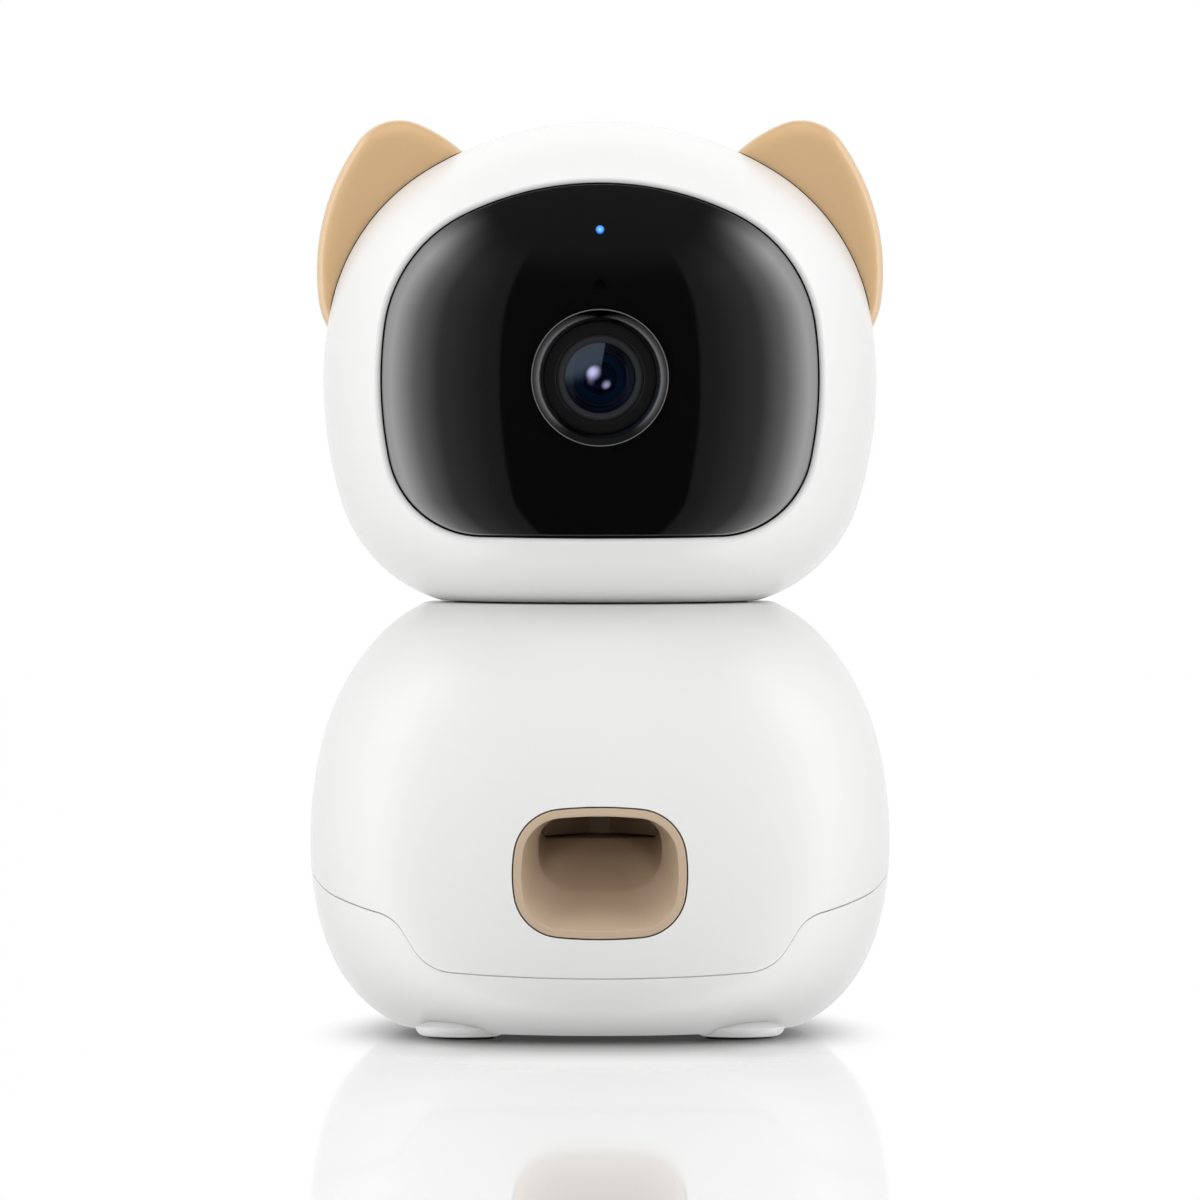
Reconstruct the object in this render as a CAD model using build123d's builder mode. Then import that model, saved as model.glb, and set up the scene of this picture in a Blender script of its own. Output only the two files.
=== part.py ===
from build123d import *
import math
import os

os.makedirs("parts", exist_ok=True)

# Base outline: tangent arcs from the waist, each as radius and sweep
base_radius = 65.0
base_waist_z = 42.0
base_upper_arcs = [(95.0, 13.6), (53.3, 28.6), (33.3, 27.0)]
base_lower_arcs = [(75.7, -12.6), (44.8, -15.4), (30.7, -77.8)]
base_bottom_z = 1.0
base_top_z = 95.3
base_wall = 2.4

# Head outline: tangent arcs from the crown
head_top_z = 203.3
head_arcs = [(74.0, -32.2), (46.9, -48.1), (91.5, -26.4), (33.3, -66.0)]
neck_gap = 0.8
head_bottom_z = base_top_z + neck_gap
head_wall = 2.4
head_split_y = 12.0
head_split_gap = 0.3

# Working margins
big = 300.0
seam_gap = 0.3
running_clearance = 0.05
moving_gap = 0.4
glue_gap = 0.1

# Base parting line, right half as tangent arcs from the middle of the front
parting_z = 14.26
parting_arcs = [(645.0, 2.9), (10.5, 54.9), (200.0, 1.3), (8.6, -46.5), (81.0, 7.2), (11.7, 33.8)]

# Treat chute: its front outline, the channel behind the flared mouth and the throat at its tail
chute_top_z = 51.89
chute_arcs = [(87.4, -6.0), (10.7, -75.7), (34.2, -16.4), (10.4, -76.8)]
chute_rim = 1.85
chute_wall = 1.8
chute_face_y = -66.0
chute_sleeve_y = -57.0
channel_y = -50.0
channel_half_width = 13.6
channel_top_z = 50.2
channel_bottom_z = 33.0
channel_top_corner = 7.0
channel_bottom_corner = 8.4
throat_half_width = 13.0
throat_height = 6.8
throat_corner = 1.8
chute_tail_y = -28.4

# Rotor deck
deck_top_z = 43.7
deck_thickness = 2.4
deck_clearance = 1.2
deck_radius = base_radius - base_wall - deck_clearance
deck_bottom_z = deck_top_z - deck_thickness
deck_notch_half_width = 21.0
post_radius = 3.6
post_inset = 14.4
post_ring = deck_radius - post_inset
boss_radius = 4.2
boss_inset = 2.8
boss_ring = deck_radius - boss_inset
boss_height = 8.0
corner_angles = [45.0, 135.0, 225.0, 315.0]
screw_radius = 1.25
screw_passage_radius = 1.6
deck_screw_head_radius = 2.8
shell_screw_head_radius = 2.6
screw_head_height = 1.8
deck_screw_length = 12.0
boss_screw_reach = 6.0

# Treat rotor and its gear drive
rotor_radius = 26.3
rotor_bottom_z = deck_top_z + moving_gap
rotor_top_z = 56.0
rotor_hub_radius = 7.0
paddle_count = 6
paddle_thickness = 2.4
journal_radius = 4.0
gear_module = 1.0
rotor_gear_teeth = 36
pinion_teeth = 12
gear_bottom_z = 36.2
gear_thickness = 4.2
gear_backlash = 0.26
gear_addendum = 0.85
gear_dedendum = 1.15
drive_centre_y = gear_module * (rotor_gear_teeth + pinion_teeth) / 2
motor_shaft_radius = 2.5
rotor_motor_radius = 12.0
rotor_motor_bottom_z = 12.0
rotor_motor_top_z = 33.0
motor_plate_thickness = 2.0

# Treat hopper
neck_inner_radius = 27.0
neck_wall = 1.8
hopper_inset = 5.0
hopper_wall = 1.6
hopper_floor_z = 56.6
hopper_edge_z = 62.4
hopper_floor_thickness = 1.6
hopper_top_z = 79.0
shield_edge_y = 3.0
roof_thickness = 1.8

# Fill window and its turning shutter
window_bottom_z = 62.6
window_top_z = 75.6
window_half_angle = 21.0
shutter_half_angle = 24.0
shutter_inset = 2.85
shutter_thickness = 1.5
shutter_bottom_z = 58.6
shutter_top_z = 77.2
tab_angle = 18.0
tab_half_width = 1.0
rail_height = 1.6
rail_depth = 2.0
rail_start = 58.0
rail_sweep = 98.0

# Neck
pan_motor_radius = 17.0
pan_motor_top_z = 90.6
neck_bearing_outer = 20.0
neck_bearing_bore = 13.3
neck_bearing_flange = 23.0
hub_radius = neck_bearing_bore - running_clearance
hub_bottom_z = 91.2
floor_plate_radius = 29.8
floor_plate_thickness = 2.4
floor_flange_radius = 34.0
floor_flange_thickness = 1.8
head_screw_ring = 31.8
head_screw_count = 3
head_screw_radius = 1.2
head_screw_length = 3.4
floor_top_z = head_bottom_z + floor_plate_thickness + floor_flange_thickness

# Visor outline: tangent arcs from its top
visor_top_z = 189.22
visor_arcs = [(69.2, -26.0), (32.6, -56.5), (90.2, -19.0), (21.5, -77.4)]
visor_gap = 0.15
gasket_width = 0.8
gasket_inset = 1.1
visor_inset = 0.8
visor_seat_inset = 2.9
visor_seat_depth = 2.0
visor_seat_outward = 2.4
visor_seat_inward = 3.4

# Lens unit
lens_z = 145.52
lens_ball_radius = 15.2
lens_face_y = -58.7
lens_face_radius = 12.0
lens_centre_y = lens_face_y + math.sqrt(lens_ball_radius**2 - lens_face_radius**2)
bezel_outer = 15.0
bezel_front_y = -60.7
bezel_cone_outer = 14.6
bezel_cone_inner = 12.35
ball_gap = 0.3
bezel_flange_outer = 17.8
bezel_flange_front_y = -55.9
bezel_back_y = -54.3
frame_inner = 15.9
frame_outer = 18.0
frame_back_y = -36.0
trunnion_radius = 2.0
barrel_radius = 9.6
barrel_front_y = -58.2
barrel_back_y = -40.0
glass_radius = 7.6
glass_front_y = -59.3
glass_edge_y = -57.4
glass_thickness = 1.5
inner_lens_radius = 5.6
inner_lens_front_y = -54.6
inner_lens_edge_y = -53.0
inner_lens_back_y = -51.4
iris_hole = 3.4

# Tilt drive
sector_teeth = 32
sector_left_x = 20.3
sector_thickness = 3.0
sector_half_angle = 38.0
sector_hub_radius = 4.2
tilt_drive_y = lens_centre_y + gear_module * (sector_teeth + pinion_teeth) / 2
tilt_pinion_left_x = 19.8
tilt_pinion_thickness = 4.0
tilt_plate_x = 25.4
tilt_motor_radius = 9.0
tilt_motor_length = 17.0
tilt_plate_thickness = 2.0

# Sensors beside the lens
status_light_z = 177.94
status_light_radius = 1.0
sensor_hole_z = 165.83
sensor_hole_radius = 1.12
capsule_radius = 2.2
front_board_y = -45.0
front_board_bottom_z = 163.9
front_board_top_z = 181.0
board_thickness = 1.2

# Ears, right one as start, heading and tangent arcs
ear_start = (61.11, 157.1)
ear_heading = 61.2
ear_arcs = [(17.3, 21.5), (50.4, 42.7), (11.3, 76.8), (33.3, 33.0)]
ear_front_y = -5.0
ear_depth = 11.0
ear_round = 4.4

# Feet
foot_radius = 10.0
foot_centre = 30.8
foot_bottom_z = 0.25
foot_side_top_z = 2.3
foot_top_radius = 7.0
foot_top_z = base_bottom_z + base_wall
foot_round = 1.9
pad_radius = 7.4
pad_top_z = 1.6

# Rear of the base
socket_z = 22.0
socket_width = 9.0
socket_height = 3.2
socket_recess = 4.0
socket_depth = 11.0
socket_mouth_y = base_radius - socket_recess
socket_back_y = socket_mouth_y - socket_depth
button_x = 19.0
button_z = 24.8
button_radius = 2.5
button_recess = 6.0
button_length = 7.4
button_front_y = base_radius - button_recess
button_back_y = button_front_y - button_length
button_flange_radius = 3.6
inlet_board_x = 9.0
inlet_board_y = socket_back_y - 2.4
inlet_board_width = 34.0
inlet_board_depth = 7.2
inlet_board_overhang = 2.0
inlet_board_inset = 1.2
switch_y = button_back_y - 4.1

# Speaker at the back of the head
speaker_z = 150.0
speaker_radius = 13.0
speaker_front_y = 54.0
speaker_depth = 9.0
grille_hole_radius = 0.9
grille_pitch = 3.2
grille_reach = 10.5

# Boards
base_board_size = 56.0
base_board_z = 8.0
standoff_offset = 23.0
standoff_radius = 2.6
head_board_width = 62.0
head_board_height = 56.0
head_board_z = 146.0
head_board_y = 24.0
head_post_x = 26.0
head_post_z = 24.0


def trace_arcs(start, heading, arcs, inset=0.0):
    """Draw a run of tangent arcs into the open line and return its end."""
    tip = start
    course = heading
    for radius, sweep in arcs:
        arc = JernArc(tip, course, radius - inset, sweep)
        tip = arc @ 1
        course = arc % 1
    return tip


def base_section(inset, low, high, bore=0.0):
    """Half section of the base, drawn inside its skin, between two heights."""
    with BuildSketch(Plane.XZ) as section:
        with BuildLine():
            waist = (base_radius - inset, base_waist_z)
            upper = trace_arcs(waist, (0, 1), base_upper_arcs, inset)
            lower = trace_arcs(waist, (0, -1), base_lower_arcs, inset)
            Polyline(upper, (0, upper.Y), (0, lower.Y), lower)
        make_face()
        with Locations(((bore + big) / 2, (low + high) / 2)):
            Rectangle(big - bore, high - low, mode=Mode.INTERSECT)
    return section.sketch


def head_section(inset, low, high):
    """Half section of the head, drawn inside its skin, between two heights."""
    with BuildSketch(Plane.XZ) as section:
        with BuildLine():
            crown = (0, head_top_z - inset)
            chin = trace_arcs(crown, (1, 0), head_arcs, inset)
            Polyline(chin, (0, chin.Y), crown)
        make_face()
        with Locations((big / 2, (low + high) / 2)):
            Rectangle(big, high - low, mode=Mode.INTERSECT)
    return section.sketch


def arc_face(top_z, arcs, grow, depth=0.0):
    """Symmetric front outline of tangent arcs from its top, grown by an amount, at a depth along Y."""
    with BuildSketch(Plane.XZ.offset(-depth)) as face:
        with BuildLine():
            corner = trace_arcs((0, top_z + grow), (1, 0), arcs, -grow)
            turned = sum(sweep for radius, sweep in arcs)
            last_sweep = -180.0 - turned
            last_heading = (math.cos(math.radians(turned)), math.sin(math.radians(turned)))
            last_radius = corner.X / math.sin(math.radians(-last_sweep))
            last = JernArc(corner, last_heading, last_radius, last_sweep)
            Line(last @ 1, (0, top_z + grow))
        make_face()
        mirror(about=Plane.YZ)
    return face.sketch


def visor_face(grow):
    """Front outline of the visor, grown or shrunk by an amount."""
    return arc_face(visor_top_z, visor_arcs, grow)


def chute_face(grow, depth=0.0):
    """Front outline of the chute, grown or shrunk by an amount, at a depth along Y."""
    return arc_face(chute_top_z, chute_arcs, grow, depth)


def passage_face(half_width, bottom_z, top_z, bottom_corner, top_corner, depth):
    """Section across the chute's channel with its own top and bottom corners, at a depth along Y."""
    with BuildSketch(Plane.XZ.offset(-depth)) as face:
        with Locations((0, (bottom_z + top_z) / 2)):
            Rectangle(2 * half_width, top_z - bottom_z)
        fillet(face.vertices().group_by(Axis.Y)[0], bottom_corner)
        fillet(face.vertices().group_by(Axis.Y)[-1], top_corner)
    return face.sketch


def parting_face(lift):
    """Everything above the parting line in front view."""
    lifted = [(radius - math.copysign(lift, sweep), sweep) for radius, sweep in parting_arcs]
    heading = sum(sweep for radius, sweep in parting_arcs)
    with BuildSketch(Plane.XZ) as face:
        with BuildLine():
            end = trace_arcs((0, parting_z + lift), (1, 0), lifted)
            out = (end.X + 20.0, end.Y + 20.0 * math.tan(math.radians(heading)))
            Polyline(end, out, (big, out[1]), (big, big), (0, big), (0, parting_z + lift))
        make_face()
        mirror(about=Plane.YZ)
    return face.sketch


def gear_face(teeth, turn):
    """Outline of a spur gear with thinned teeth, one tooth centred on the turn angle."""
    pitch = gear_module * teeth / 2
    base = pitch * math.cos(math.radians(20))
    root = pitch - gear_dedendum * gear_module
    tip = pitch + gear_addendum * gear_module
    half_tooth = (math.pi * gear_module / 2 - gear_backlash) / 2 / pitch
    rolled_pitch = math.sqrt((pitch / base) ** 2 - 1)
    flank_angle = half_tooth + rolled_pitch - math.atan(rolled_pitch)
    first = max(root, base)
    steps = 5
    flank = []
    for step in range(steps + 1):
        radius = first + (tip - first) * step / steps
        rolled = math.sqrt(max((radius / base) ** 2 - 1, 0))
        flank.append((radius, flank_angle - rolled + math.atan(rolled)))
    if root < base:
        flank.insert(0, (root, flank[0][1]))
    points = []
    for tooth in range(teeth):
        middle = math.radians(turn) + 2 * math.pi * tooth / teeth
        for radius, angle in flank:
            points.append((radius * math.cos(middle - angle), radius * math.sin(middle - angle)))
        for radius, angle in reversed(flank):
            points.append((radius * math.cos(middle + angle), radius * math.sin(middle + angle)))
    with BuildSketch() as face:
        with BuildLine():
            Polyline(*points, close=True)
        make_face()
    return face.sketch


def polar(radius, angle):
    """Point in plan at a radius and an angle in degrees."""
    return (radius * math.cos(math.radians(angle)), radius * math.sin(math.radians(angle)))


def save(shape, name):
    """Name a finished piece and write its file."""
    shape.label = name
    export_step(shape, "parts/" + name + ".step")


lens_axis = Axis((0, 0, lens_z), (0, 1, 0))
lens_plane = Plane(origin=(0, 0, lens_z), x_dir=(1, 0, 0), z_dir=(0, 0, 1))

# Outer forms that other pieces are trimmed to
with BuildPart() as base_outer:
    revolve(base_section(0.0, base_bottom_z, base_top_z), axis=Axis.Z)
with BuildPart() as base_inner:
    revolve(base_section(base_wall, base_bottom_z + base_wall, base_top_z - base_wall), axis=Axis.Z)
with BuildPart() as head_outer:
    revolve(head_section(0.0, head_bottom_z, big), axis=Axis.Z)
with BuildPart() as head_inner:
    revolve(head_section(head_wall, head_bottom_z + head_wall, big), axis=Axis.Z)
with BuildPart() as visor_back:
    revolve(head_section(visor_seat_inset, head_bottom_z, big), axis=Axis.Z)

# Upper shell of the base
with BuildPart() as base_shell_upper:
    add(base_outer.part)
    add(base_inner.part, mode=Mode.SUBTRACT)
    extrude(parting_face(seam_gap / 2), amount=big, both=True, mode=Mode.INTERSECT)
    with BuildSketch(Plane.XY.offset(deck_top_z)):
        with PolarLocations(boss_ring, len(corner_angles), start_angle=corner_angles[0]):
            Circle(boss_radius)
    extrude(amount=boss_height)
    for rail_z in (shutter_bottom_z - rail_height, shutter_top_z + running_clearance):
        with BuildPart(mode=Mode.PRIVATE) as rail:
            revolve(base_section(base_wall - 0.2, rail_z, rail_z + rail_height), axis=Axis.Z,
                    revolution_arc=rail_sweep)
            revolve(base_section(base_wall + rail_depth, 0, big), axis=Axis.Z, mode=Mode.SUBTRACT)
        add(Rot(0, 0, rail_start) * rail.part)
    add(base_outer.part, mode=Mode.INTERSECT)
    extrude(chute_face(seam_gap), amount=big, mode=Mode.SUBTRACT)
    with BuildPart(mode=Mode.PRIVATE) as window_cut:
        revolve(base_section(-1.0, window_bottom_z, window_top_z, bore=40.0), axis=Axis.Z,
                revolution_arc=2 * window_half_angle)
    add(Rot(0, 0, 90 - window_half_angle) * window_cut.part, mode=Mode.SUBTRACT)
    with BuildSketch(Plane.XY.offset(base_top_z)):
        Circle(neck_bearing_outer)
    extrude(amount=-2 * base_wall, mode=Mode.SUBTRACT)
    with BuildSketch(Plane.XZ.offset(-big)):
        with Locations((0, socket_z + socket_height / 2)):
            SlotOverall(socket_width + 2.4, socket_height + 2.2)
    extrude(amount=big, mode=Mode.SUBTRACT)
    with BuildSketch(Plane.XZ.offset(-big)):
        with Locations((button_x, button_z)):
            Circle(button_radius + running_clearance)
    extrude(amount=big, mode=Mode.SUBTRACT)
    for angle in corner_angles:
        with BuildSketch(Plane.XY.offset(deck_top_z)):
            with Locations(polar(boss_ring, angle)):
                Circle(screw_radius)
        extrude(amount=boss_height - 1.5, mode=Mode.SUBTRACT)
save(base_shell_upper.part, "base_shell_upper")

# Lower shell of the base with posts, board standoffs and foot bosses
with BuildPart() as base_shell_lower:
    add(base_outer.part)
    add(base_inner.part, mode=Mode.SUBTRACT)
    extrude(parting_face(-seam_gap / 2), amount=big, both=True, mode=Mode.SUBTRACT)
    with BuildSketch(Plane.XY.offset(base_bottom_z)):
        with PolarLocations(post_ring, len(corner_angles), start_angle=corner_angles[0]):
            Circle(post_radius)
    extrude(amount=deck_bottom_z - base_bottom_z)
    with BuildSketch(Plane.XY.offset(base_bottom_z)):
        with GridLocations(2 * standoff_offset, 2 * standoff_offset, 2, 2):
            Circle(standoff_radius)
    extrude(amount=base_board_z - base_bottom_z)
    with BuildSketch(Plane.XY.offset(base_bottom_z)):
        with Locations((inlet_board_x, inlet_board_y)):
            Rectangle(inlet_board_width - 2 * inlet_board_overhang, inlet_board_depth - inlet_board_inset)
    extrude(amount=socket_z - board_thickness - base_bottom_z)
    add(base_outer.part, mode=Mode.INTERSECT)
    with BuildPart(mode=Mode.PRIVATE) as foot:
        with BuildSketch(Plane.XZ):
            with BuildLine():
                Polyline(
                    (0, foot_bottom_z),
                    (foot_radius, foot_bottom_z),
                    (foot_radius, foot_side_top_z),
                    (foot_top_radius, foot_top_z),
                    (0, foot_top_z),
                    close=True,
                )
            make_face()
        revolve(axis=Axis.Z)
        fillet(foot.faces().sort_by(Axis.Z)[0].edges(), foot_round)
    for x in (-foot_centre, foot_centre):
        for y in (-foot_centre, foot_centre):
            add(Pos(x, y, 0) * foot.part)
    with BuildSketch():
        with GridLocations(2 * foot_centre, 2 * foot_centre, 2, 2):
            Circle(pad_radius + glue_gap)
    extrude(amount=pad_top_z, mode=Mode.SUBTRACT)
    with BuildSketch(Plane.XY.offset(deck_bottom_z)):
        with PolarLocations(post_ring, len(corner_angles), start_angle=corner_angles[0]):
            Circle(screw_radius)
    extrude(amount=-deck_screw_length, mode=Mode.SUBTRACT)
save(base_shell_lower.part, "base_shell_lower")

# Rubber pads under the feet
with BuildPart() as foot_pads:
    with BuildSketch():
        with GridLocations(2 * foot_centre, 2 * foot_centre, 2, 2):
            Circle(pad_radius)
    extrude(amount=pad_top_z)
save(foot_pads.part, "foot_pads")

# Steel weight in the bottom
with BuildPart() as ballast_plate:
    with BuildSketch(Plane.XY.offset(base_bottom_z + base_wall)):
        Circle(19.0)
        Circle(4.0, mode=Mode.SUBTRACT)
    extrude(amount=3.2)
save(ballast_plate.part, "ballast_plate")

# Main board of the base and the parts soldered to it
with BuildPart() as base_board:
    with BuildSketch(Plane.XY.offset(base_board_z)):
        RectangleRounded(base_board_size, base_board_size, 3.0)
    extrude(amount=board_thickness + 0.4)
save(base_board.part, "base_board")
base_board_top_z = base_board_z + board_thickness + 0.4
with BuildPart() as base_board_chips:
    for x, y, width, depth, height in [(-12, -10, 12, 12, 1.4), (10, -8, 8, 10, 1.4),
                                       (-20, 12, 7, 9, 3.0), (19, -21, 9, 6, 6.0), (-2, -22, 6, 4, 1.0)]:
        with BuildSketch(Plane.XY.offset(base_board_top_z)):
            with Locations((x, y)):
                Rectangle(width, depth)
        extrude(amount=height)
save(base_board_chips.part, "base_board_chips")

# Power inlet socket, its board and the pairing switch
with BuildPart() as inlet_board:
    with BuildSketch(Plane.XY.offset(socket_z - board_thickness)):
        with Locations((inlet_board_x, inlet_board_y)):
            Rectangle(inlet_board_width, inlet_board_depth)
    extrude(amount=board_thickness)
save(inlet_board.part, "inlet_board")
with BuildPart() as power_socket:
    with BuildSketch(Plane.XZ.offset(-socket_mouth_y)):
        with Locations((0, socket_z + socket_height / 2)):
            RectangleRounded(socket_width, socket_height, 1.5)
    extrude(amount=socket_mouth_y - socket_back_y)
    with BuildSketch(Plane.XZ.offset(-socket_mouth_y)):
        with Locations((0, socket_z + socket_height / 2)):
            RectangleRounded(socket_width - 0.7, socket_height - 0.7, 1.1)
    extrude(amount=7.0, mode=Mode.SUBTRACT)
    with BuildSketch(Plane.XZ.offset(-socket_mouth_y + 0.6)):
        with Locations((0, socket_z + socket_height / 2)):
            Rectangle(6.6, 0.7)
    extrude(amount=6.4)
save(power_socket.part, "power_socket")
with BuildPart() as pairing_switch:
    with BuildSketch(Plane.XY.offset(socket_z)):
        with Locations((button_x, switch_y)):
            Rectangle(6.0, 5.4)
    extrude(amount=5.0)
save(pairing_switch.part, "pairing_switch")

# Pairing button
with BuildPart() as pairing_button:
    with BuildSketch(Plane.XZ.offset(-button_front_y)):
        with Locations((button_x, button_z)):
            Circle(button_radius)
    extrude(amount=button_front_y - button_back_y)
    with BuildSketch(Plane.XZ.offset(-button_back_y - 3.6)):
        with Locations((button_x, button_z)):
            Circle(button_flange_radius)
    extrude(amount=1.0)
    fillet(pairing_button.faces().sort_by(Axis.Y)[-1].edges(), 0.5)
save(pairing_button.part, "pairing_button")

# Treat chute: a sleeve in the shell, a flared mouth and a channel that rises to the throat
with BuildPart() as treat_chute:
    throat_top_z = deck_top_z + throat_height
    channel_walls = (channel_half_width + chute_wall, channel_bottom_z - chute_wall, channel_top_z + chute_wall,
                     channel_bottom_corner + chute_wall, channel_top_corner + chute_wall)
    throat_walls = (throat_half_width + chute_wall, deck_top_z - chute_wall, throat_top_z + chute_wall,
                    throat_corner + chute_wall, throat_corner + chute_wall)
    channel = (channel_half_width, channel_bottom_z, channel_top_z, channel_bottom_corner, channel_top_corner)
    throat = (throat_half_width, deck_top_z, throat_top_z, throat_corner, throat_corner)
    extrude(chute_face(0.0, chute_face_y), amount=chute_face_y - chute_sleeve_y)
    loft([chute_face(0.0, chute_sleeve_y), passage_face(*channel_walls, channel_y)])
    loft([passage_face(*channel_walls, channel_y), passage_face(*throat_walls, chute_tail_y)])
    loft([chute_face(-chute_rim, chute_face_y), passage_face(*channel, channel_y)], mode=Mode.SUBTRACT)
    loft([passage_face(*channel, channel_y), passage_face(*throat, chute_tail_y)], mode=Mode.SUBTRACT)
    add(base_outer.part, mode=Mode.INTERSECT)
save(treat_chute.part, "treat_chute")

# Deck under the rotor
with BuildPart() as rotor_deck:
    with BuildSketch(Plane.XY.offset(deck_bottom_z)):
        Circle(deck_radius)
        Circle(journal_radius + running_clearance, mode=Mode.SUBTRACT)
        with Locations((0, drive_centre_y)):
            Circle(8.0, mode=Mode.SUBTRACT)
        with Locations((0, chute_tail_y + moving_gap - big / 2)):
            Rectangle(2 * deck_notch_half_width, big, mode=Mode.SUBTRACT)
        with PolarLocations(post_ring, len(corner_angles), start_angle=corner_angles[0]):
            Circle(screw_passage_radius, mode=Mode.SUBTRACT)
        with PolarLocations(boss_ring, len(corner_angles), start_angle=corner_angles[0]):
            Circle(screw_passage_radius, mode=Mode.SUBTRACT)
    extrude(amount=deck_thickness)
save(rotor_deck.part, "rotor_deck")

# Screws through the deck, down into the posts and up into the shell bosses
with BuildPart() as deck_screws:
    with BuildSketch(Plane.XY.offset(deck_top_z)):
        with PolarLocations(post_ring, len(corner_angles), start_angle=corner_angles[0]):
            Circle(deck_screw_head_radius)
    extrude(amount=screw_head_height)
    with BuildSketch(Plane.XY.offset(deck_top_z)):
        with PolarLocations(post_ring, len(corner_angles), start_angle=corner_angles[0]):
            Circle(screw_radius)
    extrude(amount=-deck_screw_length)
save(deck_screws.part, "deck_screws")
with BuildPart() as shell_screws:
    with BuildSketch(Plane.XY.offset(deck_bottom_z)):
        with PolarLocations(boss_ring, len(corner_angles), start_angle=corner_angles[0]):
            Circle(shell_screw_head_radius)
    extrude(amount=-screw_head_height)
    with BuildSketch(Plane.XY.offset(deck_bottom_z)):
        with PolarLocations(boss_ring, len(corner_angles), start_angle=corner_angles[0]):
            Circle(screw_radius)
    extrude(amount=deck_thickness + boss_screw_reach)
save(shell_screws.part, "shell_screws")

# Paddle rotor
with BuildPart() as treat_rotor:
    with BuildSketch(Plane.XY.offset(rotor_bottom_z)):
        Circle(rotor_hub_radius)
        with PolarLocations(0, paddle_count):
            with Locations((rotor_radius / 2, 0)):
                Rectangle(rotor_radius, paddle_thickness)
        Circle(rotor_radius, mode=Mode.INTERSECT)
    extrude(amount=rotor_top_z - rotor_bottom_z)
    with BuildSketch(Plane.XY.offset(gear_bottom_z - 0.6)):
        Circle(journal_radius)
    extrude(amount=rotor_bottom_z - gear_bottom_z + 0.6)
save(treat_rotor.part, "treat_rotor")

# Gears of the rotor drive
with BuildPart() as rotor_gear:
    with BuildSketch(Plane.XY.offset(gear_bottom_z)):
        add(gear_face(rotor_gear_teeth, 0.0))
        Circle(journal_radius, mode=Mode.SUBTRACT)
        with PolarLocations(10.0, 6):
            Circle(3.0, mode=Mode.SUBTRACT)
    extrude(amount=gear_thickness)
save(rotor_gear.part, "rotor_gear")
with BuildPart() as rotor_pinion:
    with BuildSketch(Plane.XY.offset(gear_bottom_z)):
        with Locations((0, drive_centre_y)):
            add(gear_face(pinion_teeth, 180.0 / pinion_teeth))
            Circle(motor_shaft_radius, mode=Mode.SUBTRACT)
    extrude(amount=gear_thickness)
save(rotor_pinion.part, "rotor_pinion")
with BuildPart() as rotor_motor_shaft:
    with BuildSketch(Plane.XY.offset(rotor_motor_bottom_z + 12.0)):
        with Locations((0, drive_centre_y)):
            Circle(motor_shaft_radius)
    extrude(amount=gear_bottom_z + gear_thickness - rotor_motor_bottom_z - 12.0)
save(rotor_motor_shaft.part, "rotor_motor_shaft")
with BuildPart() as rotor_motor:
    with BuildSketch(Plane.XY.offset(rotor_motor_bottom_z)):
        with Locations((0, drive_centre_y)):
            Circle(rotor_motor_radius)
    extrude(amount=rotor_motor_top_z - rotor_motor_bottom_z)
    with BuildSketch(Plane.XY.offset(rotor_motor_bottom_z + 11.5)):
        with Locations((0, drive_centre_y)):
            Circle(motor_shaft_radius + running_clearance)
    extrude(amount=rotor_motor_top_z - rotor_motor_bottom_z, mode=Mode.SUBTRACT)
    fillet(rotor_motor.faces().sort_by(Axis.Z)[0].edges(), 1.0)
save(rotor_motor.part, "rotor_motor")
with BuildPart() as rotor_motor_bracket:
    with BuildSketch(Plane.XY.offset(rotor_motor_top_z)):
        with Locations((0, drive_centre_y + 2.0)):
            RectangleRounded(34.0, 28.0, 3.0)
        with Locations((0, drive_centre_y)):
            Circle(4.0, mode=Mode.SUBTRACT)
    extrude(amount=motor_plate_thickness)
    with BuildSketch(Plane.XY.offset(rotor_motor_top_z + motor_plate_thickness)):
        with Locations((-13.5, drive_centre_y + 10), (13.5, drive_centre_y + 10)):
            Circle(3.0)
    extrude(amount=deck_bottom_z - rotor_motor_top_z - motor_plate_thickness)
save(rotor_motor_bracket.part, "rotor_motor_bracket")

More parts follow.
